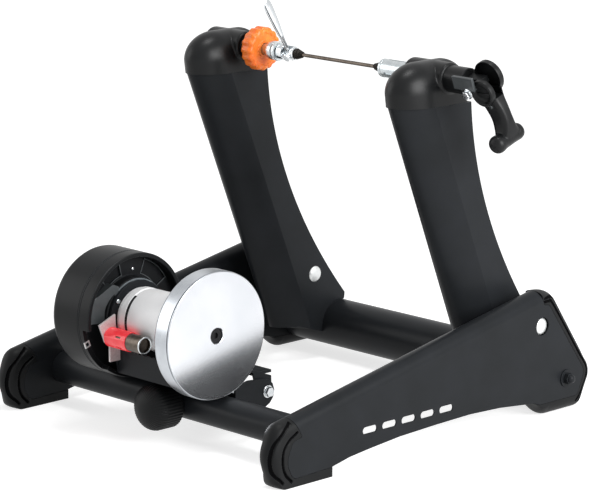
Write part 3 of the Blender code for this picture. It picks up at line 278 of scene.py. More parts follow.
# Moulded orange polypropylene: warm, a little light inside it, soft gloss
finish("orange_plastic", "Moulded_polypropylene_orange", "#f56c18", "#ff882c", 12, 0.6, 0.02, 0.38,
    0.06, edge_light=("#f98f4a", 0.5), Subsurface_Weight=0.12, Subsurface_Scale=0.004)
# Translucent red vinyl sleeve: red with a wet gloss, glowing from a faint emission, a painted glow
finish("red_plastic", "Vinyl_sleeve_translucent_red", "#e8303a", "#fa4a52", 8, 0.9, 0.03, 0.22, 0.05,
    edge_light=("#f46a70", 0.5), Subsurface_Weight=0.3, Subsurface_Scale=0.003,
    Emission_Color=linear("#f03a40"), Emission_Strength=0.3)
# Drawn steel rod with a dark oiled finish
finish("rod_steel", "Drawn_steel_oiled_dark", "#4b443d", "#6a6159", 6, 0.5, 0.02, 0.36, 0.08,
    Metallic=1.0)
# Satin nickel plate: pale silver
finish("button_silver", "Satin_nickel_plated_pin", "#d4d6d6", "#e4e6e6", 10, 0.8, 0.01, 0.34, 0.05,
    Metallic=0.55)
# Painted cast zinc: even mid grey, dull, edges a little brighter as a painted highlight
finish("grey", "Cast_zinc_painted_grey", "#3b3f41", "#474b4d", 12, 0.7, 0.02, 0.45, 0.05,
    edge_light=("#6a6f72", 0.5), Metallic=0.2)
# Machined grey boss: lighter, satin
finish("boss", "Machined_cast_boss_satin", "#7d858a", "#929a9f", 10, 0.7, 0.01, 0.4, 0.05,
    Metallic=0.5)
# Brushed chrome rim: lines round the wheel; greyer than the face's chrome, painted shade for the darker
# surroundings it reflects
finish("rim", "Chromed_brushed_rim", "#a9adb2", "#c2c6ca", 30, 0.8, 0.01, 0.3, 0.06, centre=UNIT_AXIS,
    streaks=0.35, Metallic=1.0)
# Bright chrome on small hardware: crisp lights and darks
finish("bolt", "Chrome_plated_small_hardware", "#c9cdd0", "#dfe2e4", 7, 0.6, 0.008, 0.16, 0.05,
    edge_light=("#f2f4f5", 0.4), Metallic=1.0)
# Oil-blackened spring wire: near black with thin highlights
finish("dark_wire", "Spring_wire_oil_blackened", "#1c1a18", "#2c2926", 3, 0.4, 0.01, 0.34, 0.06,
    Metallic=0.8)
# Flywheel: mirror-turned and chromed, with fine rings; its shading normal leans up a little
finish("chrome_steel", "Chromed_mirror_turned_steel", "#dfe2e7", "#e9ebef", 60, 1.5, 0.001, 0.2, 0.02,
    centre=UNIT_AXIS, streaks=0.6, lean=9.0, Metallic=1.0)
# Floor of the moulded grooves: painted shade, a black darker than the caps' ABS, rough and dull, so the
# grooves read as dark lines
finish("groove", "Groove_floor_painted_shade", "#040405", "#070708", 10, 0.8, 0.06, 0.85, 0.05,
    Specular_IOR_Level=0.05)
# Bright galvanised plate: pale, slightly speckled
finish("pale", "Galvanised_plate_pale", "#cfc6c6", "#e6e0e0", 3, 0.6, 0.02, 0.4, 0.08, Metallic=0.25)
# Rubber block: black, dry, no clear highlights
finish("black_rubber", "Moulded_rubber_black", "#0f0f10", "#17171a", 12, 0.8, 0.05, 0.75, 0.08,
    Specular_IOR_Level=0.3)


# Shapes

def basis(axis):
    axis = Vector(axis).normalized()
    helper = Z if abs(axis.z) < 0.9 else X
    side = axis.cross(helper).normalized()
    return axis, side, axis.cross(side)


def loft(rings, looped=False):
    """Skins rings of equal length; open stacks get flat ends."""
    bm = bmesh.new()
    rows = [[bm.verts.new(point * MM) for point in ring] for ring in rings]
    count = len(rows[0])
    spans = len(rows) if looped else len(rows) - 1
    for span in range(spans):
        low = rows[span]
        high = rows[(span + 1) % len(rows)]
        for step in range(count):
            after = (step + 1) % count
            bm.faces.new((low[step], low[after], high[after], high[step]))
    if not looped:
        bm.faces.new(rows[0][::-1])
        bm.faces.new(rows[-1])
    bmesh.ops.recalc_face_normals(bm, faces=bm.faces)
    return bm


def turned(profile, centre, axis=X, steps=96, bored=False, wave=None):
    """Turns (radius, distance along the axis) pairs about a line; a bored profile closes on itself."""
    along, side, up = basis(axis)
    centre = Vector(centre)
    rings = []
    for radius, distance in profile:
        ring = []
        for step in range(steps):
            angle = tau * step / steps
            reach = radius * (wave(angle) if wave else 1)
            ring.append(centre + along * distance + (side * cos(angle) + up * sin(angle)) * reach)
        rings.append(ring)
    return loft(rings, looped=bored)


def rod(radius, start, end, centre, axis=X, steps=48):
    return turned([(radius, start), (radius, end)], centre, axis, steps)


def chamfered(radius, low, high, ease, bore=0):
    """The turning profile of a rod, or of a tube with a bore, whose outer edges are chamfered."""
    profile = [(radius - ease, low), (radius, low + ease), (radius, high - ease), (radius - ease, high)]
    return profile + [(bore, high), (bore, low)] if bore else profile


def prism(outline, low, high):
    """Extrudes a (y, z) outline along X."""
    return loft([[Vector((x, y, z)) for y, z in outline] for x in (low, high)])


def oriented_block(centre, axes, halves):
    along, wide, high = [axis * half for axis, half in zip(axes, halves)]
    return loft([[centre + along * end + wide * a + high * b for a, b in SIGNS] for end in (-1, 1)])


def radial_blocks(centre, reach, turns, halves):
    """Blocks about an X line at a reach and at turns in degrees, each square to its own radius."""
    blocks = []
    for turn in turns:
        out = Vector((0, cos(radians(turn)), sin(radians(turn))))
        blocks.append(oriented_block(centre + out * reach, (X, out, out.cross(X)), halves))
    return blocks


def hexagon(across, start, end, centre, axis=X):
    radius = across / sqrt(3)
    return turned([(radius, start), (radius, end)], centre, axis, 6)


def to_object(bm, name="working"):
    mesh = bpy.data.meshes.new(name)
    bm.to_mesh(mesh)
    bm.free()
    item = bpy.data.objects.new(name, mesh)
    bpy.context.collection.objects.link(item)
    return item


def evaluated(item, extras=()):
    """The item's mesh after its modifiers; the working objects go."""
    bpy.context.view_layer.update()
    mesh = bpy.data.meshes.new_from_object(item.evaluated_get(bpy.context.evaluated_depsgraph_get()))
    for old in (item, *extras):
        bpy.data.objects.remove(old)
    result = bmesh.new()
    result.from_mesh(mesh)
    bpy.data.meshes.remove(mesh)
    return result


def combine(base, others, operation):
    body = to_object(base)
    tools = []
    for other in others:
        tool = to_object(other, "tool")
        step = body.modifiers.new("step", "BOOLEAN")
        step.operation = operation
        step.solver = "EXACT"
        step.object = tool
        tools.append(tool)
    return evaluated(body, tools)


def cut(base, *tools):
    return combine(base, tools, "DIFFERENCE")


def join(base, *tools):
    return combine(base, tools, "UNION")


def gather(*shapes):
    """Puts separate closed shapes in one mesh without cutting them."""
    whole = bmesh.new()
    for shape in shapes:
        mesh = bpy.data.meshes.new("part")
        shape.to_mesh(mesh)
        shape.free()
        whole.from_mesh(mesh)
        bpy.data.meshes.remove(mesh)
    return whole


def eased(bm, width, segments=2, angle=30):
    """Rounds the sharp edges by a small bevel."""
    bmesh.ops.dissolve_limit(bm, angle_limit=radians(0.4), verts=bm.verts, edges=bm.edges)
    item = to_object(bm)
    bevel = item.modifiers.new("ease", "BEVEL")
    bevel.width = width * MM
    bevel.segments = segments
    bevel.limit_method = "ANGLE"
    bevel.angle_limit = radians(angle)
    bevel.use_clamp_overlap = True
    return evaluated(item)


def blended(bm, voxel, passes, factor=0.5):
    """Remeshes joined shapes and smooths them, so that their meeting lines flow like a moulding."""
    item = to_object(bm)
    remesh = item.modifiers.new("even", "REMESH")
    remesh.mode = "VOXEL"
    remesh.voxel_size = voxel * MM
    smooth = item.modifiers.new("flow", "SMOOTH")
    smooth.factor = factor
    smooth.iterations = passes
    return evaluated(item)


DRESSED = set()


def piece(name, bm, node, finish_key=None, crisp=30, moved=True):
    """Adds a finished piece on a CAD node's body, with the finish of the node's slot unless another is
    named; a node's first piece hides the CAD node.
    """
    if not bm.faces:
        raise ValueError("no shape for " + name)
    if moved:
        bmesh.ops.translate(bm, verts=bm.verts, vec=SHIFT)
    item = to_object(bm, name)
    item.data.materials.append(FINISH[finish_key or SLOT_OF[node]])
    item.data.shade_smooth()
    item.data.set_sharp_from_angle(angle=radians(crisp))
    even = item.modifiers.new("even", "WEIGHTED_NORMAL")
    even.keep_sharp = True
    bpy.context.view_layer.update()
    rough = item.data
    item.data = bpy.data.meshes.new_from_object(item.evaluated_get(bpy.context.evaluated_depsgraph_get()))
    item.modifiers.clear()
    bpy.data.meshes.remove(rough)
    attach(item, BODY_OF[node])
    if node not in DRESSED:
        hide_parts(node)
        DRESSED.add(node)
    return item


def kept(node):
    """A CAD node's mesh, merged into one skin, with its edges eased."""
    bm = bmesh.new()
    bm.from_mesh(NODES[node].data)
    bmesh.ops.remove_doubles(bm, verts=bm.verts, dist=0.002 * MM)
    return eased(bm, 0.5)


# Base

def round_corners(corners, span=5):
    """Turns (y, z, radius) corners into a (y, z) path with a point per span of degrees."""
    path = []
    count = len(corners)
    for index, (y, z, radius) in enumerate(corners):
        here = Vector((y, z))
        if radius == 0 or index in (0, count - 1):
            path.append(here)
            continue
        before = (Vector(corners[index - 1][:2]) - here).normalized()
        after = (Vector(corners[index + 1][:2]) - here).normalized()
        half = before.angle(after) / 2
        reach = radius / tan(half)
        middle = here + (before + after).normalized() * (radius / sin(half))
        first = here + before * reach - middle
        last = here + after * reach - middle
        turn = first.angle_signed(last)
        steps = max(1, round(abs(turn) / radians(span)))
        for step in range(steps + 1):
            angle = -turn * step / steps
            point = Vector((first.x * cos(angle) - first.y * sin(angle),
                first.x * sin(angle) + first.y * cos(angle)))
            path.append(middle + point)
    return path


def shift_path(path, distance):
    """Moves an open path sideways, to its left, by a distance."""
    sides = []
    for start, end in zip(path, path[1:]):
        along = (end - start).normalized()
        sides.append(Vector((-along.y, along.x)))
    moved = [path[0] + sides[0] * distance]
    for point, first, second in zip(path[1:], sides, sides[1:]):
        moved.append(point + (first + second) * distance / (1 + first.dot(second)))
    moved.append(path[-1] + sides[-1] * distance)
    return moved


def rim_insets(rim, start_edge, end_edge):
    """For each rim point, the way in that keeps the rim's round section; the two ends follow an edge."""
    insets = []
    for index, point in enumerate(rim):
        before = rim[max(index - 1, 0)]
        after = rim[min(index + 1, len(rim) - 1)]
        along = (after - before).normalized()
        insets.append(Vector((along.y, -along.x)))
    for index, edge in ((0, start_edge), (-1, end_edge)):
        way = (edge - rim[index]).normalized()
        insets[index] = way / max(way.dot(insets[index]), 0.3)
    return insets


def rimmed_plate(rim, edge, weights, middle, radius):
    """A plate whose rim path is half-round across X and whose other edge is square."""
    insets = rim_insets(rim, edge[-1], edge[0])
    rings = []
    for layer in range(-90, 91, 9):
        angle = radians(layer)
        depth = radius * (1 - cos(angle))
        x = middle + radius * sin(angle)
        ring = [point + way * depth * weight for point, way, weight in zip(rim, insets, weights)] + edge
        rings.append([Vector((x, point.x, point.y)) for point in ring])
    return loft(rings)


def crest(y):
    """Height of the side member's top edge."""
    return 81 + 0.1915 * (y + 242)


REAR_SEAM = round_corners([(-180.4, 12, 0), (-244.5, 10, 9), (-255.5, 31, 22), (-245.5, 54, 12),
    (-230, 58.5, 2), (-242, crest(-242), 0)])
FRONT_SEAM = round_corners([(185, crest(185), 0), (191.5, 145, 2), (199.8, 145, 10), (270, 47.5, 14),
    (257.5, 17, 9), (186, 17, 5), (175.5, 20.6, 0)])
ARCH = [Vector(corner) for corner in ((111.2, 27.5), (56.5, 29.8), (-5.0, 28.6), (-66.8, 26.4),
    (-118.0, 21.8), (-151.6, 18.2))]


def round_slot(x, start, length, width, height):
    """A plain round-ended cutter along Y, 8 mm deep about x."""
    outline = []
    for end, centre in ((1, start + length - width / 2), (-1, start + width / 2)):
        for step in range(13):
            angle = radians(-90 + 15 * step)
            outline.append((centre + end * cos(angle) * width / 2, height + end * sin(angle) * width / 2))
    return prism(outline, x - 4, x + 4)


def side_member(side):
    """Pressed member: half-round crest, open below, slots in its outer wall, a window behind them."""
    half = MEMBER_THICKNESS / 2
    middle = side * (HALF_WIDTH - half)
    front = shift_path(FRONT_SEAM, -GAP)
    rear = shift_path(REAR_SEAM, -GAP)
    rim = [Vector((end.x, crest(end.x))) for end in (rear[-1], front[0])]
    body = rimmed_plate(rim, front[1:] + ARCH + rear[:-1], [1, 1], middle, half)
    ends = [Vector((y, crest(y))) - Vector((0, MEMBER_WALL)) for y in (-300, 320)]
    below = [Vector((320, -30)), Vector((-300, -30))]
    hollow = rimmed_plate(ends, below, [1, 1], middle, half - MEMBER_WALL)
    outer = side * (HALF_WIDTH - MEMBER_WALL / 2)
    inner = side * (HALF_WIDTH - MEMBER_THICKNESS + MEMBER_WALL / 2)
    holes = [rod(BOLT_RADIUS + GAP, -40, 40, (middle, PIVOT_Y, PIVOT_Z))]
    holes.append(rod(LOCK_RADIUS + 2 * GAP, -40, 40, (middle, LOCK_Y, LOCK_Z), steps=64))
    holes.append(round_slot(inner, -112, 176, 15, 37.5))
    for number in range(SLOT_COUNT):
        holes.append(round_slot(outer, SLOT_FIRST + SLOT_STEP * number, 24, 9, 45))
    return cut(body, hollow, *holes)


def spline(rows, steps=6, straight=False):
    """Smooth rows of numbers through a few given ones; straight carries both ends on in line."""
    first, last = rows[0], rows[-1]
    if straight:
        first = [2 * a - b for a, b in zip(rows[0], rows[1])]
        last = [2 * a - b for a, b in zip(rows[-1], rows[-2])]
    rows = [first, *rows, last]
    smooth = []
    for before, start, end, after in zip(rows, rows[1:], rows[2:], rows[3:]):
        for step in range(steps):
            t = step / steps
            smooth.append([0.5 * (2 * b + (c - a) * t + (2 * a - 5 * b + 4 * c - d) * t * t
                + (3 * b - a - 3 * c + d) * t ** 3) for a, b, c, d in zip(before, start, end, after)])
    smooth.append(list(rows[-2]))
    return smooth


def grooved(bm, side, routes):
    """Presses flat-bottomed grooves into both faces of a cap along routes of (y, z) corners; their floors
    get the second finish, painted shade.
    """
    even = blended(bm, 0.7, 2)
    middle = side * (HALF_WIDTH - MEMBER_THICKNESS / 2) * MM
    points = [point for corners in routes for point in spline(corners, 60, straight=True)]
    tree = KDTree(len(points))
    for index, (y, z) in enumerate(points):
        tree.insert((0, y * MM, z * MM), index)
    tree.balance()

    def away(spot):
        return tree.find((0, spot.y, spot.z))[2] / (GROOVE_HALF_WIDTH * MM)

    even.normal_update()
    for vert in even.verts:
        out = copysign(1, vert.co.x - middle)
        if vert.normal.x * out > GROOVE_FACING and away(vert.co) < 1:
            vert.co.x -= out * GROOVE_DEPTH * MM * (1 - away(vert.co) ** 3)
    # Faces near each groove's middle take the cap's second finish: painted shade on the groove floor
    for face in even.faces:
        if abs(face.normal.x) > GROOVE_FACING and away(face.calc_center_median()) < 0.75:
            face.material_index = 1
    return even


REAR_GROOVES = (
    ((-246, 76.6), (-258, 69), (-271, 55), (-276, 38), (-272, 21), (-261, 8)),
    ((-238, 65), (-251.5, 57), (-259.6, 46), (-261, 31), (-257, 18), (-247, 7.5)))
FRONT_GROOVES = (
    ((192, 153), (205, 153), (214, 147), (262, 80), (281, 50), (272, 22), (262, 8.5)),
    ((191.5, 149), (201, 148.6), (209, 143), (256, 77), (275, 48.5), (266, 22.5), (256, 10)))


def rear_cap(side):
    """Rear foot: half-round rim that flattens into the sole, with two grooves round its nose."""
    half = MEMBER_THICKNESS / 2
    rim = round_corners([(-180.4, 0, 0), (-267, 0, 14), (-282.5, 38, 40), (-268, crest(-268), 22),
        (-242, crest(-242), 0)])
    weights = [min(1, point.y / 22) ** 0.7 for point in rim]
    body = rimmed_plate(rim, REAR_SEAM[::-1][1:], weights, side * (HALF_WIDTH - half), half)
    return grooved(body, side, REAR_GROOVES)


def front_cap(side):
    """Front foot: half-round rim down to the floor, with two grooves inside it."""
    half = MEMBER_THICKNESS / 2
    rim = round_corners([(185, crest(185), 0), (208.5, 163.5, 37), (290.5, 46, 25), (268, 0, 16),
        (196, 0, 25), (175.5, 20.6, 0)])
    heel = rim[-1].x
    weights = [min(1, (point.x - heel) / 26) for point in rim]
    body = rimmed_plate(rim, FRONT_SEAM[::-1][1:-1], weights, side * (HALF_WIDTH - half), half)
    return grooved(body, side, FRONT_GROOVES)


for label, side in (("left", -1), ("right", 1)):
    piece("side_member_%s_pressed" % label, eased(side_member(side), 0.35), "side_member_" + label,
        crisp=20)
    for end, build in (("rear", rear_cap), ("front", front_cap)):
        foot = piece("%s_foot_%s_moulded" % (end, label), build(side), "%s_foot_cap_%s" % (end, label),
            crisp=20)
        # The caps' second finish is painted shade on the groove floors
        foot.data.materials.append(FINISH["groove"])

bar_reach = HALF_WIDTH - MEMBER_THICKNESS - GAP
for name, radius, centre in (("rear_cross_bar", REAR_BAR_RADIUS, (0, REAR_BAR_Y, REAR_BAR_Z)),
        ("front_cross_bar", FRONT_BAR_RADIUS, (0, PIVOT_Y, PIVOT_Z))):
    profile = chamfered(radius, -bar_reach, bar_reach, 0.4, radius - 2.2)
    piece(name + "_tube", turned(profile, centre, bored=True), name)


# Uprights and elbows

CREASE_ANGLE = radians(38.0)


def upright_section(side, height, front, level=None):
    """One ring of the U section: outside from lip to lip, then back inside; a crease ends each flank."""
    share = (UPRIGHT_TOP - height) / (UPRIGHT_TOP - NOSE_BOTTOM)
    crease = CREASE_TOP_Y + (CREASE_LOW_Y - CREASE_TOP_Y) * share
    middle = side * UPRIGHT_MID
    start = sin(CREASE_ANGLE)
    points = []
    for inset in (0, UPRIGHT_WALL):
        half = UPRIGHT_HALF - inset
        lip = UPRIGHT_HALF - UPRIGHT_LIP
        edge = front - inset
        path = [(-lip, edge), (-half + UPRIGHT_FOLD, edge), (-half, edge - UPRIGHT_FOLD)]
        for step in range(33):
            angle = pi - CREASE_ANGLE - (pi - 2 * CREASE_ANGLE) * step / 32
            rise = (sin(angle) - start) / (1 - start)
            path.append((half * cos(angle) / cos(CREASE_ANGLE), crease - (NOSE_LENGTH - inset) * rise))
        path += [(half, edge - UPRIGHT_FOLD), (half - UPRIGHT_FOLD, edge), (lip, edge)]
        points += path if inset == 0 else path[::-1]
    return [Vector((middle + x, y, level(y) if level else height)) for x, y in points]


def upright_front(height):
    share = (UPRIGHT_TOP - height) / (UPRIGHT_TOP - FRONT_LOW_Z)
    bent = FRONT_STRAIGHT_SHARE * share + (1 - FRONT_STRAIGHT_SHARE) * share ** 2
    return FRONT_TOP_Y + (FRONT_LOW_Y - FRONT_TOP_Y) * bent


def upright_foot(y):
    return NOSE_BOTTOM - max(0, y - 164) * 0.32


def upright(side):
    """Pressed U leg, coped over the front bar."""
    spans = 44
    heights = [UPRIGHT_TOP + (FRONT_LOW_Z - UPRIGHT_TOP) * step / spans for step in range(spans + 1)]
    edge = [(upright_front(height), height) for height in heights] + [(245.8, 77), (240, 70)]
    rings = [upright_section(side, z, y) for y, z in edge]
    rings.append(upright_section(side, NOSE_BOTTOM, 235, upright_foot))
    centre = (side * UPRIGHT_MID, PIVOT_Y, PIVOT_Z)
    notch = rod(FRONT_BAR_RADIUS + GAP, -40, 40, centre, steps=96)
    hole = rod(LOCK_RADIUS + FIT, -40, 40, (side * UPRIGHT_MID, LOCK_Y, LOCK_Z), steps=64)
    return cut(loft(rings), notch, hole)


def elbow_ring(side, height, turn):
    """A closed ring of the elbow: straight sides, then a round ridge as the turn grows."""
    middle = side * UPRIGHT_MID
    lean = 0.14 * (min(height, ELBOW_KNEE) - UPRIGHT_TOP)
    crease = CREASE_TOP_Y - lean
    front = 100 - 22 * (1 - cos(turn))
    half = UPRIGHT_HALF * cos(turn)
    nose = NOSE_LENGTH * cos(turn)
    corner = 8 * cos(turn)
    path = []
    for step in range(31):
        angle = pi * step / 30
        path.append((-half * cos(angle), crease - nose * sin(angle)))
    path += [(half, front - corner), (half - corner * 0.75, front)]
    path += [(-half + corner * 0.75, front), (-half, front - corner)]
    return [Vector((middle + x, y, height)) for x, y in path]


def elbow(side):
    """Moulded cap: a round ridge that flows into the clamp's barrel; lower edge and bores stay crisp."""
    low = UPRIGHT_TOP - 6
    rings = [elbow_ring(side, low, 0), elbow_ring(side, ELBOW_KNEE - 8, 0)]
    for step in range(23):
        turn = radians(3.9 * step)
        rings.append(elbow_ring(side, ELBOW_KNEE + ELBOW_RISE * sin(turn), turn))
    barrel = turned([(BARREL_RADIUS - 2, 147), (BARREL_RADIUS, 149), (BARREL_RADIUS, 211),
        (BARREL_RADIUS - 2, 213)], AXLE, X * side, 72)
    body = blended(join(loft(rings), barrel), 1.1, 9)
    if side > 0:
        neck = turned([(BARREL_RADIUS - 3, 205), (BARREL_RADIUS - 3, 242), (BARREL_RADIUS - 4, 243)],
            AXLE, X * side, 72)
        bores = [rod(ROD_RADIUS + FIT, 100, 260, AXLE, X * side),
            rod(CUP_RADIUS + 2 * GAP, 100, 160, AXLE, X * side)]
    else:
        neck = turned([(BARREL_RADIUS - 5.5, 134), (BARREL_RADIUS - 4.5, 135),
            (BARREL_RADIUS - 4.5, 152)], AXLE, X * side, 72)
        bores = [rod(SPINDLE_RADIUS + FIT, 100, 260, AXLE, X * side),
            rod(SPINDLE_RADIUS + 1.5, 205, 260, AXLE, X * side)]
    skirt = oriented_block(Vector((side * UPRIGHT_MID, 50, UPRIGHT_TOP + GAP - 30)), (X, Y, Z),
        (60, 90, 30))
    return cut(join(body, neck), skirt, *bores)


for label, side in (("left", -1), ("right", 1)):
    piece("upright_%s_pressed" % label, upright(side), "upright_" + label, crisp=9)
    piece("elbow_%s_moulded" % label, elbow(side), "elbow_cap_" + label, "elbow", crisp=35)
    button = turned([(LOCK_RADIUS, 227.8), (LOCK_RADIUS, 252.3), (LOCK_RADIUS * 0.93, 253.6),
        (LOCK_RADIUS * 0.75, 254.3), (LOCK_RADIUS * 0.4, 254.7), (LOCK_RADIUS * 0.1, 254.8)],
        (0, LOCK_Y, LOCK_Z), X * side, 64)
    piece("lock_button_%s_domed" % label, button, "lock_button_" + label, crisp=50)


# What repeats or follows a path, by Geometry Nodes

def grower(name, inputs):
    """A node tree with named inputs and one geometry output; its first input is the mesh it is put on."""
    tree = bpy.data.node_groups.new(name, "GeometryNodeTree")
    tree.interface.new_socket("Geometry", in_out="INPUT", socket_type="NodeSocketGeometry")
    tree.interface.new_socket("Geometry", in_out="OUTPUT", socket_type="NodeSocketGeometry")
    for label, value in inputs.items():
        kind = "NodeSocketInt" if isinstance(value, int) else "NodeSocketFloat"
        tree.interface.new_socket(label, in_out="INPUT", socket_type=kind).default_value = value
    return tree, tree.nodes.new("NodeGroupInput").outputs


def closing(tree, shape, material):
    """Realises what was grown, gives it a finish and ends the tree."""
    real = add(tree, "GeometryNodeRealizeInstances", {"Geometry": shape})
    done_shape = add(tree, "GeometryNodeSetMaterial", {"Geometry": real.outputs[0], "Material": material})
    end = tree.nodes.new("NodeGroupOutput")
    tree.links.new(done_shape.outputs[0], end.inputs[0])


def coil_tree(material):
    """A round wire that climbs a cone: springs, and threads when both radii are equal."""
    tree, given = grower("Coil", {"Turns": 5.0, "First radius": 7.0, "Last radius": 4.0, "Length": 10.0,
        "Wire": 0.8, "Sides": 10})
    path = add(tree, "GeometryNodeCurveSpiral", {"Resolution": 28, "Rotations": given["Turns"],
        "Start Radius": given["First radius"], "End Radius": given["Last radius"],
        "Height": given["Length"]})
    wire = add(tree, "GeometryNodeCurvePrimitiveCircle",
        {"Resolution": given["Sides"], "Radius": given["Wire"]})
    skin = add(tree, "GeometryNodeCurveToMesh", {"Curve": path.outputs[0],
        "Profile Curve": wire.outputs[0], "Fill Caps": True})
    closing(tree, skin.outputs[0], material)
    return tree


def rib_tree(material):
    """Equal round ribs that stand along the Z axis in a ring."""
    tree, given = grower("Ribs", {"Count": 24, "Radius": 20.0, "Foot": 0.0, "End": 20.0, "Rib": 0.5})
    low = add(tree, "CombineXYZ", {"X": given["Radius"], "Z": given["Foot"]})
    high = add(tree, "CombineXYZ", {"X": given["Radius"], "Z": given["End"]})
    path = add(tree, "GeometryNodeCurvePrimitiveLine", {"Start": low.outputs[0], "End": high.outputs[0]})
    bar = add(tree, "GeometryNodeCurvePrimitiveCircle", {"Resolution": 8, "Radius": given["Rib"]})
    rib = add(tree, "GeometryNodeCurveToMesh", {"Curve": path.outputs[0], "Profile Curve": bar.outputs[0],
        "Fill Caps": True})
    places = add(tree, "GeometryNodeMeshLine", {"Count": given["Count"], "Offset": (0.0, 0.0, 0.0)})
    number = add(tree, "GeometryNodeInputIndex").outputs[0]
    turn = maths(tree, "MULTIPLY", number, maths(tree, "DIVIDE", tau, given["Count"]))
    spin = add(tree, "CombineXYZ", {"Z": turn})
    ring = add(tree, "GeometryNodeInstanceOnPoints", {"Points": places.outputs[0],
        "Instance": rib.outputs[0], "Rotation": spin.outputs[0]})
    closing(tree, ring.outputs[0], material)
    return tree


def grown(tree, values, centre, axis):
    """Runs a tree with its inputs set by identifier, and lays its Z axis along another."""
    item = to_object(bmesh.new(), "grown")
    run = item.modifiers.new("grow", "NODES")
    run.node_group = tree
    for socket in tree.interface.items_tree:
        if socket.in_out == "INPUT" and socket.name in values:
            run[socket.identifier] = values[socket.name]
    bm = evaluated(item)
    along, side, up = basis(axis)
    for vert in bm.verts:
        vert.co = (Vector(centre) + side * vert.co.x + up * vert.co.y + along * vert.co.z) * MM
    bmesh.ops.recalc_face_normals(bm, faces=bm.faces)
    return bm


COIL = coil_tree(FINISH["rod_steel"])
RIBS = rib_tree(FINISH["black_plastic"])


# Wheel clamp

def knob():
    """Scalloped hand knob with rounded lobes, a shallow ring in its face and a bore for the screw."""
    def lobes(angle):
        return 1 - 0.03 * (1 - cos(KNOB_LOBES * angle))

    profile = [(19, -133.4), (24.6, -132.9), (26.8, -131.8), (28.1, -130), (28.5, -127.8), (28.5, -119.6),
        (28.1, -117.4), (26.8, -115.5), (24.8, -114.4), (22.6, -114), (21.4, -114.3), (20.8, -115),
        (13.4, -115), (12.8, -114.4), (12, -114)]
    body = turned(profile, AXLE, X, KNOB_LOBES * 20, wave=lobes)
    return cut(body, rod(SPINDLE_RADIUS + FIT, -150, -100, AXLE, steps=64),
        rod(8.2, -127, -100, AXLE, steps=64))


def left_cup():
    """Clamp screw with a rolled thread, its collar, the deep cup and the knurled ring."""
    lip = SKEWER_LEFT - 0.5
    profile = [(4, -205), (5, -204), (5, -116.1), (7.4, -116.1), (7.8, -115.6), (7.8, -103.8),
        (8.4, -103.1), (10.6, -102.9), (11.8, -102.4), (12.2, -101.4), (12.2, -95.2), (11.8, -94.4),
        (10.4, -94), (10, -93.6), (10, -92.6), (10.4, -92.3), (12, -92.1), (12.5, -91.6), (12.5, -88.2),
        (12.1, lip), (9.5, lip), (7, lip - 8)]
    body = turned(profile, AXLE, steps=128)
    knurl = grown(RIBS, {"Count": 48, "Radius": 12.45, "Foot": -91.4, "End": -88.4, "Rib": 0.35}, AXLE, X)
    thread = grown(COIL, {"Turns": 34.0, "First radius": 4.74, "Last radius": 4.74, "Length": 50.0,
        "Wire": 0.24, "Sides": 4}, AXLE - X * 200, X)
    return gather(body, knurl, thread)


def right_cup():
    """Push rod and its cup with a rolled rim and three plain slots."""
    mouth = SKEWER_RIGHT
    profile = [(6, mouth + 9), (9.3, mouth + 0.4), (9.8, mouth), (10.8, mouth), (11.6, mouth + 0.6),
        (11.8, mouth + 1.4), (11.8, mouth + 3.6), (11.5, mouth + 4), (11.2, mouth + 4.2),
        (11.2, mouth + 4.9), (11.5, mouth + 5.2), (11.8, mouth + 5.6), (11.8, 146.3), (11.4, 147.1),
        (10.6, 147.5), (7.6, 147.5), (7, 148.1), (7, 246)]
    slots = radial_blocks(AXLE + X * 124, CUP_RADIUS, (95, 200, 320), (15, 1.4, 1.1))
    return cut(turned(profile, AXLE, steps=128), *slots)


LEVER = Vector((LEVER_X, AXLE_Y, AXLE_Z))
PIN = Vector((0, cos(LEVER_TILT), sin(LEVER_TILT)))
ARM = Vector((0, sin(LEVER_TILT), -cos(LEVER_TILT)))


def clevis():
    """Forged block on the push rod's end, eased all round."""
    centre = Vector((LEVER_X - 5.5, AXLE_Y, AXLE_Z))
    body = oriented_block(centre, (X, PIN, ARM), (12, ROD_RADIUS + 0.1, 8.5))
    body = cut(body, rod(PIN_RADIUS + FIT, -20, 20, LEVER, PIN), rod(ROD_RADIUS + FIT, 230, 246.3, AXLE))
    return eased(body, 1.2, 3)


def lever_section(along, wide, deep, out, square=0.5):
    """One rounded ring across the lever's arm."""
    ring = []
    for step in range(48):
        angle = tau * step / 48
        flat = abs(cos(angle)) ** square * copysign(1, cos(angle))
        rise = abs(sin(angle)) ** square * copysign(1, sin(angle))
        ring.append(LEVER + (ARM * along + PIN * wide * flat + X * (deep * rise + out)))
    return ring


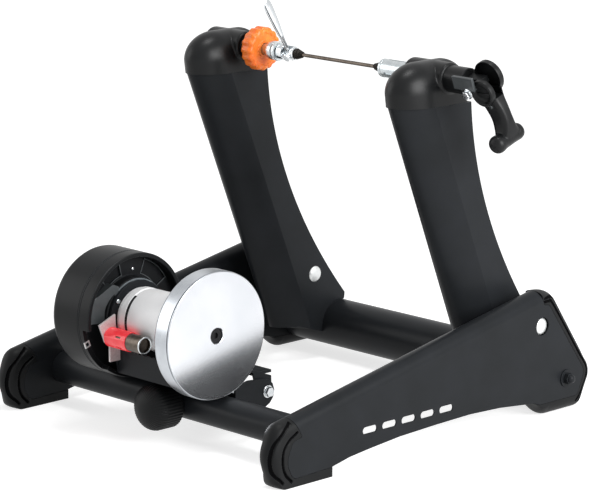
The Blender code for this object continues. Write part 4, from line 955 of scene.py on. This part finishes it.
def cam_lever():
    """Far cheek with a rim, a dished near cheek, the bowed arm and the T grip, moulded as one."""
    far = turned([(6, 11.2), (17.2, 11.2), (18.2, 10.4), (18.5, 8.2), (18.9, 7.7), (19.1, 7.1),
        (19.9, 7.1), (20.5, 8), (20.5, 14), (19.8, 14.8), (18.5, 15), (6, 15)],
        LEVER + (X * 4.5 - ARM * 5), PIN, 128)
    near = turned([(6, -11.2), (9.6, -11.5), (11.6, -12.4), (13, -14.2), (14, -14.8), (15.6, -14.8),
        (16.8, -14), (17.2, -12.8), (17.2, -8), (16.6, -7.1), (6, -7.1)], LEVER + (X * 10 + ARM * 6.5),
        PIN, 128)
    reach = LEVER_BOW
    bow = ((6, 12.6, 14.5, 9.5), (17, 10.6, 15.4, 11), (29, 8.8, 14.4, 16.3),
        (43, 8.4, 12.9, reach - 14.2), (54, 10.4, 11.9, reach - 12.6), (63, 14.2, 10.6, reach - 11.6),
        (69, 17, 9.8, reach - 11.3))
    blade = loft([lever_section(*ring) for ring in spline(bow)])
    near_end, far_end = (-29, 22.5)
    grip_rows = ((near_end, 2), (near_end + 0.5, 5.4), (near_end + 2.6, 9), (near_end + 6.5, 11.1),
        (near_end + 11, 11.2), (near_end + 15, 10.6), (near_end + 20, 10.2), (far_end - 17, 10.2),
        (far_end - 12, 10.5), (far_end - 7.5, 10.6), (far_end - 3.2, 9.2), (far_end - 0.6, 5.6),
        (far_end, 2))
    grip = turned([(radius, place) for place, radius in spline(grip_rows, 4)],
        LEVER + ARM * LEVER_LENGTH + X * (reach - 11.3), PIN, 72)
    body = blended(join(blade, grip), 0.7, 6)
    body = join(body, far, near)
    fork = oriented_block(LEVER + X - ARM * 5.8, (X, PIN, ARM), (26, ROD_RADIUS + 0.4, 19.7))
    return cut(body, fork, rod(PIN_RADIUS + FIT, -20, 20, LEVER, PIN))


def side_plate():
    """Flat grey plate beside the barrel that the cam pin's bolt holds."""
    centre = LEVER - X * 10.2 - ARM * 8 - PIN * 18.9
    body = eased(oriented_block(centre, (X, PIN, ARM), (16.2, 2, 8.4)), 0.6)
    pin = turned([(4.4, -18), (4.4, -15.3), (PIN_RADIUS, -15.3), (PIN_RADIUS, 14.4), (2.6, 14.7)],
        LEVER, PIN, 48)
    return join(body, pin)


def pin_bolt():
    """Chromed hexagon bolt on a washer."""
    centre = LEVER - X * 4.5 + ARM * 4.4
    washer = turned([(5, -20.2), (6.4, -20.4), (6.8, -20.9), (6.8, -21.8), (6.4, -22.2), (5, -22.3)],
        centre, PIN, 64)
    head = eased(hexagon(9.4, -27.2, -22.4, centre, PIN), 0.5)
    return gather(washer, head)


def arm_screw():
    """Small pan-head screw low on the lever's near side."""
    centre = LEVER + ARM * 25 + X * 16.5
    head = turned([(1, -10.9), (1.9, -10.7), (2.5, -10.2), (2.7, -9.6), (2.7, -7.6)], centre, PIN, 40)
    return cut(head, hexagon(1.9, -11.5, -10, centre, PIN))


piece("adjuster_knob_moulded", knob(), "adjuster_knob", crisp=40)
piece("left_cup_turned", left_cup(), "spindle_cup", crisp=32)
piece("right_cup_turned", right_cup(), "push_rod_cup", crisp=32)
piece("lever_clevis_forged", clevis(), "lever_clevis", "black_plastic")
piece("cam_lever_moulded", cam_lever(), "cam_lever", "elbow", crisp=38)
piece("lever_side_plate", side_plate(), "lever_pin", "grey")
piece("lever_bolt_chromed", pin_bolt(), "lever_pin", "bolt")
piece("lever_arm_screw", arm_screw(), "cam_lever", "grey")


# Skewer

HUB = Vector((SKEWER_LEVER_X, AXLE_Y, AXLE_Z))
BLADE = Vector((0, cos(SKEWER_LEVER_ANGLE), sin(SKEWER_LEVER_ANGLE)))
CAM = Vector((0, sin(SKEWER_LEVER_ANGLE), -cos(SKEWER_LEVER_ANGLE)))


def skewer_head():
    """Bright cam housing with two rings, a pocket for the cam and a mouth for the lever."""
    end = SKEWER_SPRING_LEFT - 0.3
    left = SKEWER_LEFT
    profile = [(4.5, left - 5.5), (5.5, left - 4.5), (5.5, left), (8.6, left), (9.5, left + 0.5),
        (9.8, left + 1.3), (9.8, left + 9.4), (9.3, left + 10.2), (8, left + 10.6), (8, left + 11.8),
        (8.6, left + 12.2), (9.2, left + 13), (9.2, end - 4.6), (8.6, end - 3.9), (7.6, end - 3.6),
        (7.6, end - 2.6), (8.2, end - 2.2), (8.2, end - 0.8), (7.4, end)]
    pocket = rod(CAM_RADIUS + FIT, -13, 4.5, HUB, CAM)
    mouth = oriented_block(HUB - X * 3.4 + BLADE * 9 - CAM * 4, (X, BLADE, CAM), (7.7, 9, 8.5))
    return cut(turned(profile, AXLE, steps=128), pocket, mouth)


def skewer_lever():
    """Quick-release lever: round cam, a neck split in two prongs, and a broad dished blade."""
    cam = turned(chamfered(CAM_RADIUS, -12, 4.2, 0.5), HUB, CAM, 64)
    rows = ((0.02, 3, 2.5), (0.14, 2.9, 2.2), (0.28, 3.1, 2), (0.4, 4.3, 1.9), (0.55, 5.6, 2),
        (0.72, 6.4, 2.1), (0.86, 6.8, 2), (0.94, 6.3, 1.7), (0.985, 4.4, 1.4), (1, 1.6, 0.9))
    rings = []
    for share, wide, thick in spline(rows, 5):
        centre = HUB - CAM * 4 + BLADE * SKEWER_LEVER_LENGTH * share
        rings.append([centre + (CAM * wide * cos(tau * step / 32) + X * thick * sin(tau * step / 32))
            for step in range(32)])
    slot = []
    for end, share in ((1, 0.34), (-1, 0.12)):
        for step in range(9):
            angle = radians(-90 + 22.5 * step)
            slot.append(HUB - CAM * 4 + BLADE * (SKEWER_LEVER_LENGTH * share + end * cos(angle) * 1.15)
                + CAM * end * sin(angle) * 1.15)
    opening = loft([[point + X * reach for point in slot] for reach in (-6, 6)])
    return cut(join(cam, loft(rings)), opening)


def spring(first, last, wide):
    """Conical wire spring round the skewer, grown along its own path."""
    return grown(COIL, {"Turns": 6.5, "First radius": wide, "Last radius": 3.3,
        "Length": abs(last - first), "Wire": 0.72, "Sides": 12}, AXLE + X * first,
        X * copysign(1, last - first))


def skewer_nut():
    left = SKEWER_RIGHT - 2
    right = SKEWER_RIGHT + 5.5
    return turned([(2.45, left), (4.3, left), (5.1, left + 0.4), (5.4, left + 1.2), (5.4, right - 1.2),
        (5, right - 0.3), (4.4, right), (2.45, right)], AXLE, steps=72, bored=True)


piece("skewer_head_turned", skewer_head(), "skewer_head", "bolt", crisp=32)
piece("skewer_lever_forged", skewer_lever(), "skewer_lever", "bolt", crisp=40)
piece("skewer_rod_drawn", turned(chamfered(2.4, -57, 99.5, 0.4), AXLE, steps=48), "skewer_rod")
piece("skewer_spring_left_wound", spring(-56.2, -45.5, 6.6), "skewer_spring_left", "dark_wire")
piece("skewer_spring_right_wound", spring(94.5, 83.5, 6.4), "skewer_spring_right", "dark_wire")
piece("skewer_nut_turned", skewer_nut(), "skewer_nut", "bolt", crisp=32)


# Resistance unit

def unit_point(radius, degrees):
    """A (y, z) point at a radius and an angle, from +Y towards +Z, about the unit's axis."""
    turn = radians(degrees)
    return UNIT_Y + radius * cos(turn), UNIT_Z + radius * sin(turn)


def sector(inner, outer, start, end, low, high, steps=24):
    """A ring sector about the unit's axis."""
    outline = [unit_point(outer, start + (end - start) * step / steps) for step in range(steps + 1)]
    outline += [unit_point(inner, end + (start - end) * step / steps) for step in range(steps + 1)]
    return prism(outline, low, high)


WEB = DRUM_SEAM + 3.65
WINDOWS = ((50, 18), (118, 14))


def drum_cover():
    """Pressed cup with a rounded shoulder, a rolled bead and a shallow ring in its closed end."""
    r = DRUM_RADIUS
    left = DRUM_LEFT
    right = DRUM_SEAM - 0.15
    profile = [(6, left), (30, left), (31, left + 0.8), (48, left + 0.8), (49, left), (r - 12, left),
        (r - 8.5, left + 0.25), (r - 5, left + 1.3), (r - 2.4, left + 3.3), (r - 0.8, left + 6.1),
        (r, left + 9.5), (r, right - 3.4), (r - 0.5, right - 2.9), (r - 0.5, right - 2.2),
        (r, right - 1.7), (r, right - 0.5), (r - 0.5, right), (r - 4, right), (r - 4, left + 10),
        (r - 10, left + 4), (6, left + 4)]
    return turned(profile, UNIT_AXIS, steps=192, bored=True)


def drum_housing():
    """Ring, web and boss: two windows in the web, and the ring cut low at the back."""
    r = DRUM_RADIUS
    left = DRUM_SEAM + 0.15
    top = DRUM_RIGHT
    profile = [(11, left), (r - 0.5, left), (r, left + 0.5), (r, top - 1.5), (r - 0.4, top - 0.5),
        (r - 1.4, top), (r - 4.6, top), (r - 5.4, top - 0.5), (r - 5.8, top - 1.6), (r - 6, WEB + 0.8),
        (r - 6.8, WEB), (49, WEB), (48, WEB + 0.8), (47.2, top - 2), (46.4, top - 1), (39.6, top - 1),
        (39, top - 1.8), (38.4, WEB), (11, WEB)]
    body = turned(profile, UNIT_AXIS, steps=192, bored=True)
    openings = [sector(51.5, 69.5, middle - half, middle + half, WEB - 2.6, WEB + 10)
        for middle, half in WINDOWS]
    openings.append(sector(52, 90, 186, 232, WEB + 3, 0))
    return cut(body, *openings)


def window_frame(middle, half):
    """A thin raised lip round a window; its lighter grey finish is a painted highlight along the window's
    edge.
    """
    outer = sector(50.7, 70.3, middle - half - 0.8, middle + half + 0.8, WEB + 0.05, WEB + 0.85)
    return cut(outer, sector(51.5, 69.5, middle - half, middle + half, WEB - 1, WEB + 2))


def rear_arm():
    """Grey gusset that leans from the ring in to the roller's boss."""
    corners = ((-68, 20, -73), (-36, 44, -60.5), (-27, 40, -59.5), (-30.5, 25, -59.5), (-44, -2, -61.5),
        (-67, -4, -73))
    low, high = [], []
    for y, z, top in corners:
        low.append(Vector((WEB + 0.1, UNIT_Y + y, UNIT_Z + z)))
        high.append(Vector((top, UNIT_Y + y, UNIT_Z + z)))
    return eased(loft([low, high]), 0.8)


def port():
    """Small square socket frame at the ring's low rear edge."""
    low = WEB + 3.05
    centre = Vector((low, UNIT_Y - 70.5, UNIT_Z - 27))
    axes = (X, Vector((0, 0.94, 0.34)), Vector((0, -0.34, 0.94)))
    outer = oriented_block(centre, axes, (0.9, 4, 4))
    return cut(outer, oriented_block(centre, axes, (3, 2.5, 2.5)))


def pan_head(degrees, reach, low, radius=2.6):
    """A pan-head screw that faces the roller."""
    y, z = unit_point(reach, degrees)
    head = turned([(radius, low), (radius, low + 0.9), (radius * 0.85, low + 1.5),
        (radius * 0.5, low + 1.8)], (0, y, z), steps=32)
    return cut(head, hexagon(radius * 0.8, low + 0.9, low + 4, (0, y, z)))


def roller():
    """Turned drive roller: collar, slot ring near the drum (darkened by a painted-shade band), fine steps
    at both ends.
    """
    r = ROLLER_RADIUS
    right = FLYWHEEL_LEFT - GAP
    profile = [(SHAFT_BORE, -55), (r - 3.5, -55), (r - 2.1, -54.6), (r - 1.5, -53.6), (r - 1.5, -50.4),
        (r - 2.3, -50), (r - 2.3, -48.8), (r - 0.9, -48.4), (r, -47.6), (r, -39.6), (r - 0.5, -39.1),
        (r - 1.3, -38.9), (r - 1.3, -34.9), (r - 0.5, -34.7), (r, -34.2), (r, 24.6), (r - 0.4, 25),
        (r - 0.4, 25.6), (r, 26), (r, right), (SHAFT_BORE, right)]
    return turned(profile, UNIT_AXIS, steps=192, bored=True)


def slot_shade_band():
    """Black band in the roller's slot ring, over its rear side only: painted shade in the slot."""
    band = []
    for step in range(41):
        degrees = 122 + 110 * step / 40
        band.append([unit_point(ROLLER_RADIUS - depth, degrees) for depth in (2.5, 0.25)])
    outline = [inner for inner, outer in band] + [outer for inner, outer in band[::-1]]
    return prism(outline, -38.7, -35.1)


def flywheel():
    """Heavy disc: mirror-turned face, thin groove by its edge, brushed rim, stepped back, bolt pocket."""
    r = FLYWHEEL_RADIUS
    left = FLYWHEEL_LEFT
    right = FLYWHEEL_RIGHT
    profile = [(SHAFT_BORE, left), (38, left), (40, left + 3), (r - 5.5, left + 3), (r - 3.4, left + 3.4),
        (r - 1.4, left + 4.8), (r - 0.3, left + 6.8), (r, left + 8.4), (r, right - 3),
        (r - 0.2, right - 2.8), (r - 1.7, right - 2.7), (r - 1.7, right - 1.9), (r - 0.4, right - 1.8),
        (r - 0.2, right - 1.5), (r - 0.3, right - 0.6), (r - 1, right - 0.1), (r - 1.8, right),
        (10.6, right), (9.9, right - 0.4), (9.7, right - 1.2), (9.7, FLYWHEEL_FLOOR),
        (SHAFT_BORE, FLYWHEEL_FLOOR)]
    return turned(profile, UNIT_AXIS, steps=256, bored=True)


def flywheel_bolt():
    body = turned([(9.2, 81.2), (9.5, 81.5), (9.5, 84.6), (9, 85.2), (7.8, 85.4)], UNIT_AXIS, steps=96)
    return cut(body, hexagon(7, 82, 90, UNIT_AXIS))


def drive_shaft():
    return turned(chamfered(SHAFT_RADIUS, -118, 80, 0.8), UNIT_AXIS, steps=64)


TUBE = Vector((0, TUBE_Y, TUBE_Z))


def sleeve_tube():
    left = TUBE_LEFT
    return turned([(9.2, left), (10.6, left), (11, left + 0.4), (11, 9.2), (10.6, 9.4), (9.2, 9.4)], TUBE,
        steps=96, bored=True)


def tube_lip():
    return turned([(9, 9.4), (10.7, 9.4), (11, 9.7), (11, 10.5), (10.6, 11), (9.5, 11), (9, 10.6)], TUBE,
        steps=96, bored=True)


def red_sleeve():
    left = TUBE_LEFT
    body = turned([(11.05, left), (11.9, left), (12.2, left + 0.4), (12.2, -15.4), (12, -14.4),
        (11.6, -14), (11.05, -14)], TUBE, steps=96, bored=True)
    marks = radial_blocks(TUBE - X * 27, 12, (152, 218), (5, 1.6, 1.1))
    return cut(body, *[eased(mark, 0.7) for mark in marks])


def tube_bracket():
    """Bright plate beside the roller that carries the tube, with a strip down to the frame's wall."""
    outline = [(-265.6, 120.8), (-274.8, 143.7), (-249, 154.2)]
    outline += [unit_point(ROLLER_RADIUS + 2, 178 + 6 * step) for step in range(7)]
    outline += [(-241.8, 122), (-241.8, 95), (-258, 95), (-258.5, 117)]
    return eased(prism(outline, TUBE_LEFT - 3.3, TUBE_LEFT - 0.3), 0.4)


def unit_bracket():
    """Bent plate on the rear bar with two full ears for the unit's pivot bolt."""
    back = REAR_BAR_Y + REAR_BAR_RADIUS + GAP
    ear = [(back, 24), (-121, 35), (-110, 40), (-104, 47), (-102, 56), (-105, 65), (-112, 70.5),
        (-120, 73), (-146, 75), (back, 70)]
    half = 75
    thick = 3.5
    ears = [prism(ear, low, low + thick) for low in (-half, half - thick)]
    corners = ((-half, 24), (half, 24), (half, 62), (-half, 62))
    plate = loft([[Vector((x, y, z)) for x, z in corners] for y in (back, back + thick)])
    holes = (rod(BOLT_RADIUS + FIT, -100, 100, UNIT_PIVOT), rod(6.2, -30, 30, (0, back, PRESS_Z), Y))
    body = cut(join(plate, *ears), *holes)
    return eased(body, 0.6)


def unit_bolt():
    """Pivot bolt with a washer under its chromed hexagon head."""
    shank = turned([(3.4, -86), (BOLT_RADIUS, -85.4), (BOLT_RADIUS, 76.5)], UNIT_PIVOT, steps=48)
    rim = [(4.2, 75.3), (7.4, 75.3), (7.9, 75.7), (7.9, 76.3), (7.4, 76.7), (4.2, 76.7)]
    washer = turned(rim, UNIT_PIVOT, steps=64, bored=True)
    head = eased(hexagon(11.4, 76.8, 81.2, UNIT_PIVOT), 0.7)
    return gather(shank, washer, head)


def press_knob():
    """Moulded dome knob with fine round ribs that run out towards its pole."""
    def ribs(angle):
        return 1 - 0.012 * (1 - cos(PRESS_RIBS * angle))

    face = REAR_BAR_Y - REAR_BAR_RADIUS - 1
    length = face - PRESS_KNOB_NOSE
    radius = PRESS_KNOB_RADIUS
    rows = [(radius * 0.9, 0), (radius * 0.96, 0.7), (radius, 2.2), (radius, length - 21)]
    for step in range(1, 19):
        angle = radians(4.9 * step)
        rows.append((radius * cos(angle), length - 21 + 21 * sin(angle)))
    centre = (0, face, PRESS_Z)
    body = turned(rows, centre, -Y, PRESS_RIBS * 8, wave=ribs)
    return cut(body, rod(PRESS_BORE, -1, 22, centre, -Y))


def press_screw():
    """Long press screw with a rolled thread between the knob and its nut."""
    face = REAR_BAR_Y - REAR_BAR_RADIUS - 1
    start = face - 21
    body = turned([(4.2, start), (4.7, start + 0.8), (4.7, -101.8), (4, -101)], (0, 0, PRESS_Z), Y, 48)
    thread = grown(COIL, {"Turns": 48.0, "First radius": 4.62, "Last radius": 4.62, "Length": 96.0,
        "Wire": 0.33, "Sides": 4}, (0, face + 6, PRESS_Z), Y)
    return gather(body, thread)


def cap_nut(side):
    """Black hexagon nut with a domed end over the pivot rod."""
    start = HALF_WIDTH + 2
    centre = (0, PIVOT_Y, PIVOT_Z)
    body = eased(hexagon(13, start, start + 6, centre, X * side), 0.6)
    dome = turned([(5.6, start + 5), (5.6, start + 7.2), (5, start + 9), (3.6, start + 10.3),
        (1.6, start + 10.9)], centre, X * side, 64)
    return cut(join(body, dome), rod(BOLT_RADIUS + FIT, start - 3, start + 7.4, centre, X * side))


piece("drum_cover_pressed", drum_cover(), "drum_cover", crisp=32)
piece("drum_housing_cast", drum_housing(), "drum_housing", crisp=32)
# The grey window lips paint a highlight round the windows
piece("drum_window_frames", gather(*[window_frame(*window) for window in WINDOWS]), "drum_housing",
    "grey")
piece("drum_boss_arc", sector(39.9, 46.1, 38, 128, DRUM_RIGHT - 0.95, DRUM_RIGHT - 0.35), "drum_housing",
    "boss")
piece("drum_rear_arm", rear_arm(), "drum_housing", "grey")
piece("drum_port_frame", port(), "drum_housing", "button_silver")
piece("drum_screws", gather(pan_head(152, 66, WEB + 0.1), pan_head(164, 50.5, WEB + 0.1, 2),
    pan_head(84, 56, WEB + 0.1, 2)), "drum_housing", "bolt")
piece("roller_turned", roller(), "roller", crisp=32)
# A black band on the slot's rear side: painted shade
piece("roller_slot_painted_shade", slot_shade_band(), "roller", "black_rubber")
wheel = piece("flywheel_turned", flywheel(), "flywheel", crisp=28)
# Every face but the front face takes the greyer rim finish: painted shade on the rim
wheel.data.materials.append(FINISH["rim"])
for face in wheel.data.polygons:
    if face.center.x < (FLYWHEEL_RIGHT - 0.3) * MM + SHIFT.x:
        face.material_index = 1
piece("flywheel_bolt_socket", flywheel_bolt(), "flywheel_bolt", "black_rubber")
piece("drive_shaft_ground", drive_shaft(), "drive_shaft")
piece("sleeve_tube_drawn", sleeve_tube(), "sleeve_tube", "rod_steel")
piece("sleeve_tube_lip", tube_lip(), "sleeve_tube", "bolt")
piece("sleeve_tube_plug", turned([(7.5, 2), (9.1, 2.4), (9.1, 6.2), (8.4, 6.8), (3, 7.2)], TUBE,
    steps=96), "sleeve_tube", "rod_steel")
piece("red_sleeve_moulded", red_sleeve(), "red_sleeve")
piece("tube_bracket_pressed", tube_bracket(), "tube_bracket", "pale")
piece("unit_bracket_pressed", unit_bracket(), "unit_bracket")
piece("unit_bolt_zinc", unit_bolt(), "unit_pivot_bolt", "bolt")
piece("press_knob_moulded", press_knob(), "press_knob", crisp=40)
piece("press_screw_rolled", press_screw(), "press_screw", crisp=40)
for label, side in (("left", -1), ("right", 1)):
    piece("pivot_cap_nut_" + label, cap_nut(side), "pivot_nut_" + label)
rod_end = HALF_WIDTH + 9
pivot_rod = turned(chamfered(BOLT_RADIUS, -rod_end, rod_end, 0.6), (0, PIVOT_Y, PIVOT_Z), steps=48)
piece("pivot_rod_drawn", pivot_rod, "pivot_rod")


# Every other CAD node keeps its shape

for node in NODES:
    if node not in DRESSED:
        piece(node + "_dressed", kept(node), node, moved=False)


# Studio; its places and sizes are in metres

def directly_seen(tree):
    """1 for what the camera sees, also in a mirror or through glass, and 0 for other light."""
    rays = add(tree, "LightPath").outputs
    seen = maths(tree, "MAXIMUM", rays["Is Camera Ray"], rays["Is Glossy Ray"])
    return maths(tree, "MAXIMUM", seen, rays["Is Transmission Ray"])


def studio_white(name, albedo, glow):
    """White to the camera and in reflections, with the object's shadow; plain white for other light.

    The glow rises to full white away from the object, so that the floor has no far edge.
    """
    material, tree = blank(name)
    place = add(tree, "TexCoord").outputs["Object"]
    away = add(tree, "VectorMath", {0: place}, operation="LENGTH").outputs["Value"]
    shade = add(tree, "BsdfDiffuse", {"Color": (albedo, albedo, albedo, 1.0)}).outputs[0]
    level = mapped(tree, away, 1.0, 5.0, glow, 1.0)
    lift = add(tree, "Emission", {"Color": WHITE, "Strength": level}).outputs[0]
    both = add(tree, "AddShader", {0: shade, 1: lift}).outputs[0]
    plain = add(tree, "BsdfDiffuse", {"Color": (0.8, 0.8, 0.8, 1.0)}).outputs[0]
    mix = add(tree, "MixShader", {0: directly_seen(tree), 1: plain, 2: both}).outputs[0]
    add(tree, "OutputMaterial", {"Surface": mix})
    return material


def white_world(strength):
    """White to the camera and in reflections, a weaker light for everything else."""
    world = bpy.data.worlds.new("Studio")
    bpy.context.scene.world = world
    world.use_nodes = True
    tree = world.node_tree
    tree.nodes.clear()
    level = mapped(tree, directly_seen(tree), 0.0, 1.0, strength, 1.0)
    glow = add(tree, "Background", {"Color": WHITE, "Strength": level})
    add(tree, "OutputWorld", {"Surface": glow.outputs["Background"]})


def soft_box(name, place, size, watts):
    """A rectangular lamp that looks at the middle of the part."""
    lamp = bpy.data.lights.new(name, "AREA")
    lamp.shape = "RECTANGLE"
    lamp.size, lamp.size_y = size
    lamp.energy = watts
    item = bpy.data.objects.new(name, lamp)
    bpy.context.collection.objects.link(item)
    item.location = place
    item.rotation_euler = (Vector(place) - Vector((0, 0, 0.2))).to_track_quat("Z", "Y").to_euler()
    return item


WHITE = (1, 1, 1, 1)
FLOOR_HALF = 12.0
FLOOR_DROP = 0.2 * MM
floor_bm = bmesh.new()
floor_bm.faces.new([floor_bm.verts.new((x * FLOOR_HALF, y * FLOOR_HALF, -FLOOR_DROP)) for x, y in SIGNS])
floor = to_object(floor_bm, "floor")
floor.data.materials.append(studio_white("Floor_white", 0.62, 0.72))
white_world(0.26)
soft_box("key", (3.2, 0.3, 1.5), (1.8, 2.2), 145)
soft_box("top", (0.3, 0, 3.4), (0.9, 0.9), 34)
soft_box("left", (-2.6, -2.2, 1.4), (2.2, 2.2), 30)


# Camera, as it was fitted to the photograph

PHOTO_WIDTH = 589
FOCAL_PIXELS = 3030.2
SENSOR_WIDTH = 36
AZIMUTH = radians(46.038)
ELEVATION = radians(12.510)
lens = bpy.data.cameras.new("camera")
lens.lens = FOCAL_PIXELS / PHOTO_WIDTH * SENSOR_WIDTH
lens.sensor_width = SENSOR_WIDTH
lens.clip_end = 50
camera = bpy.data.objects.new("camera", lens)
bpy.context.collection.objects.link(camera)
camera.location = Vector((2.68855, -2.58835, 1.03367)) + SHIFT
back = Vector((sin(AZIMUTH) * cos(ELEVATION), -cos(AZIMUTH) * cos(ELEVATION), sin(ELEVATION)))
camera.rotation_euler = back.to_track_quat("Z", "Y").to_euler()
bpy.context.scene.camera = camera
bpy.context.scene.view_settings.view_transform = "Standard"
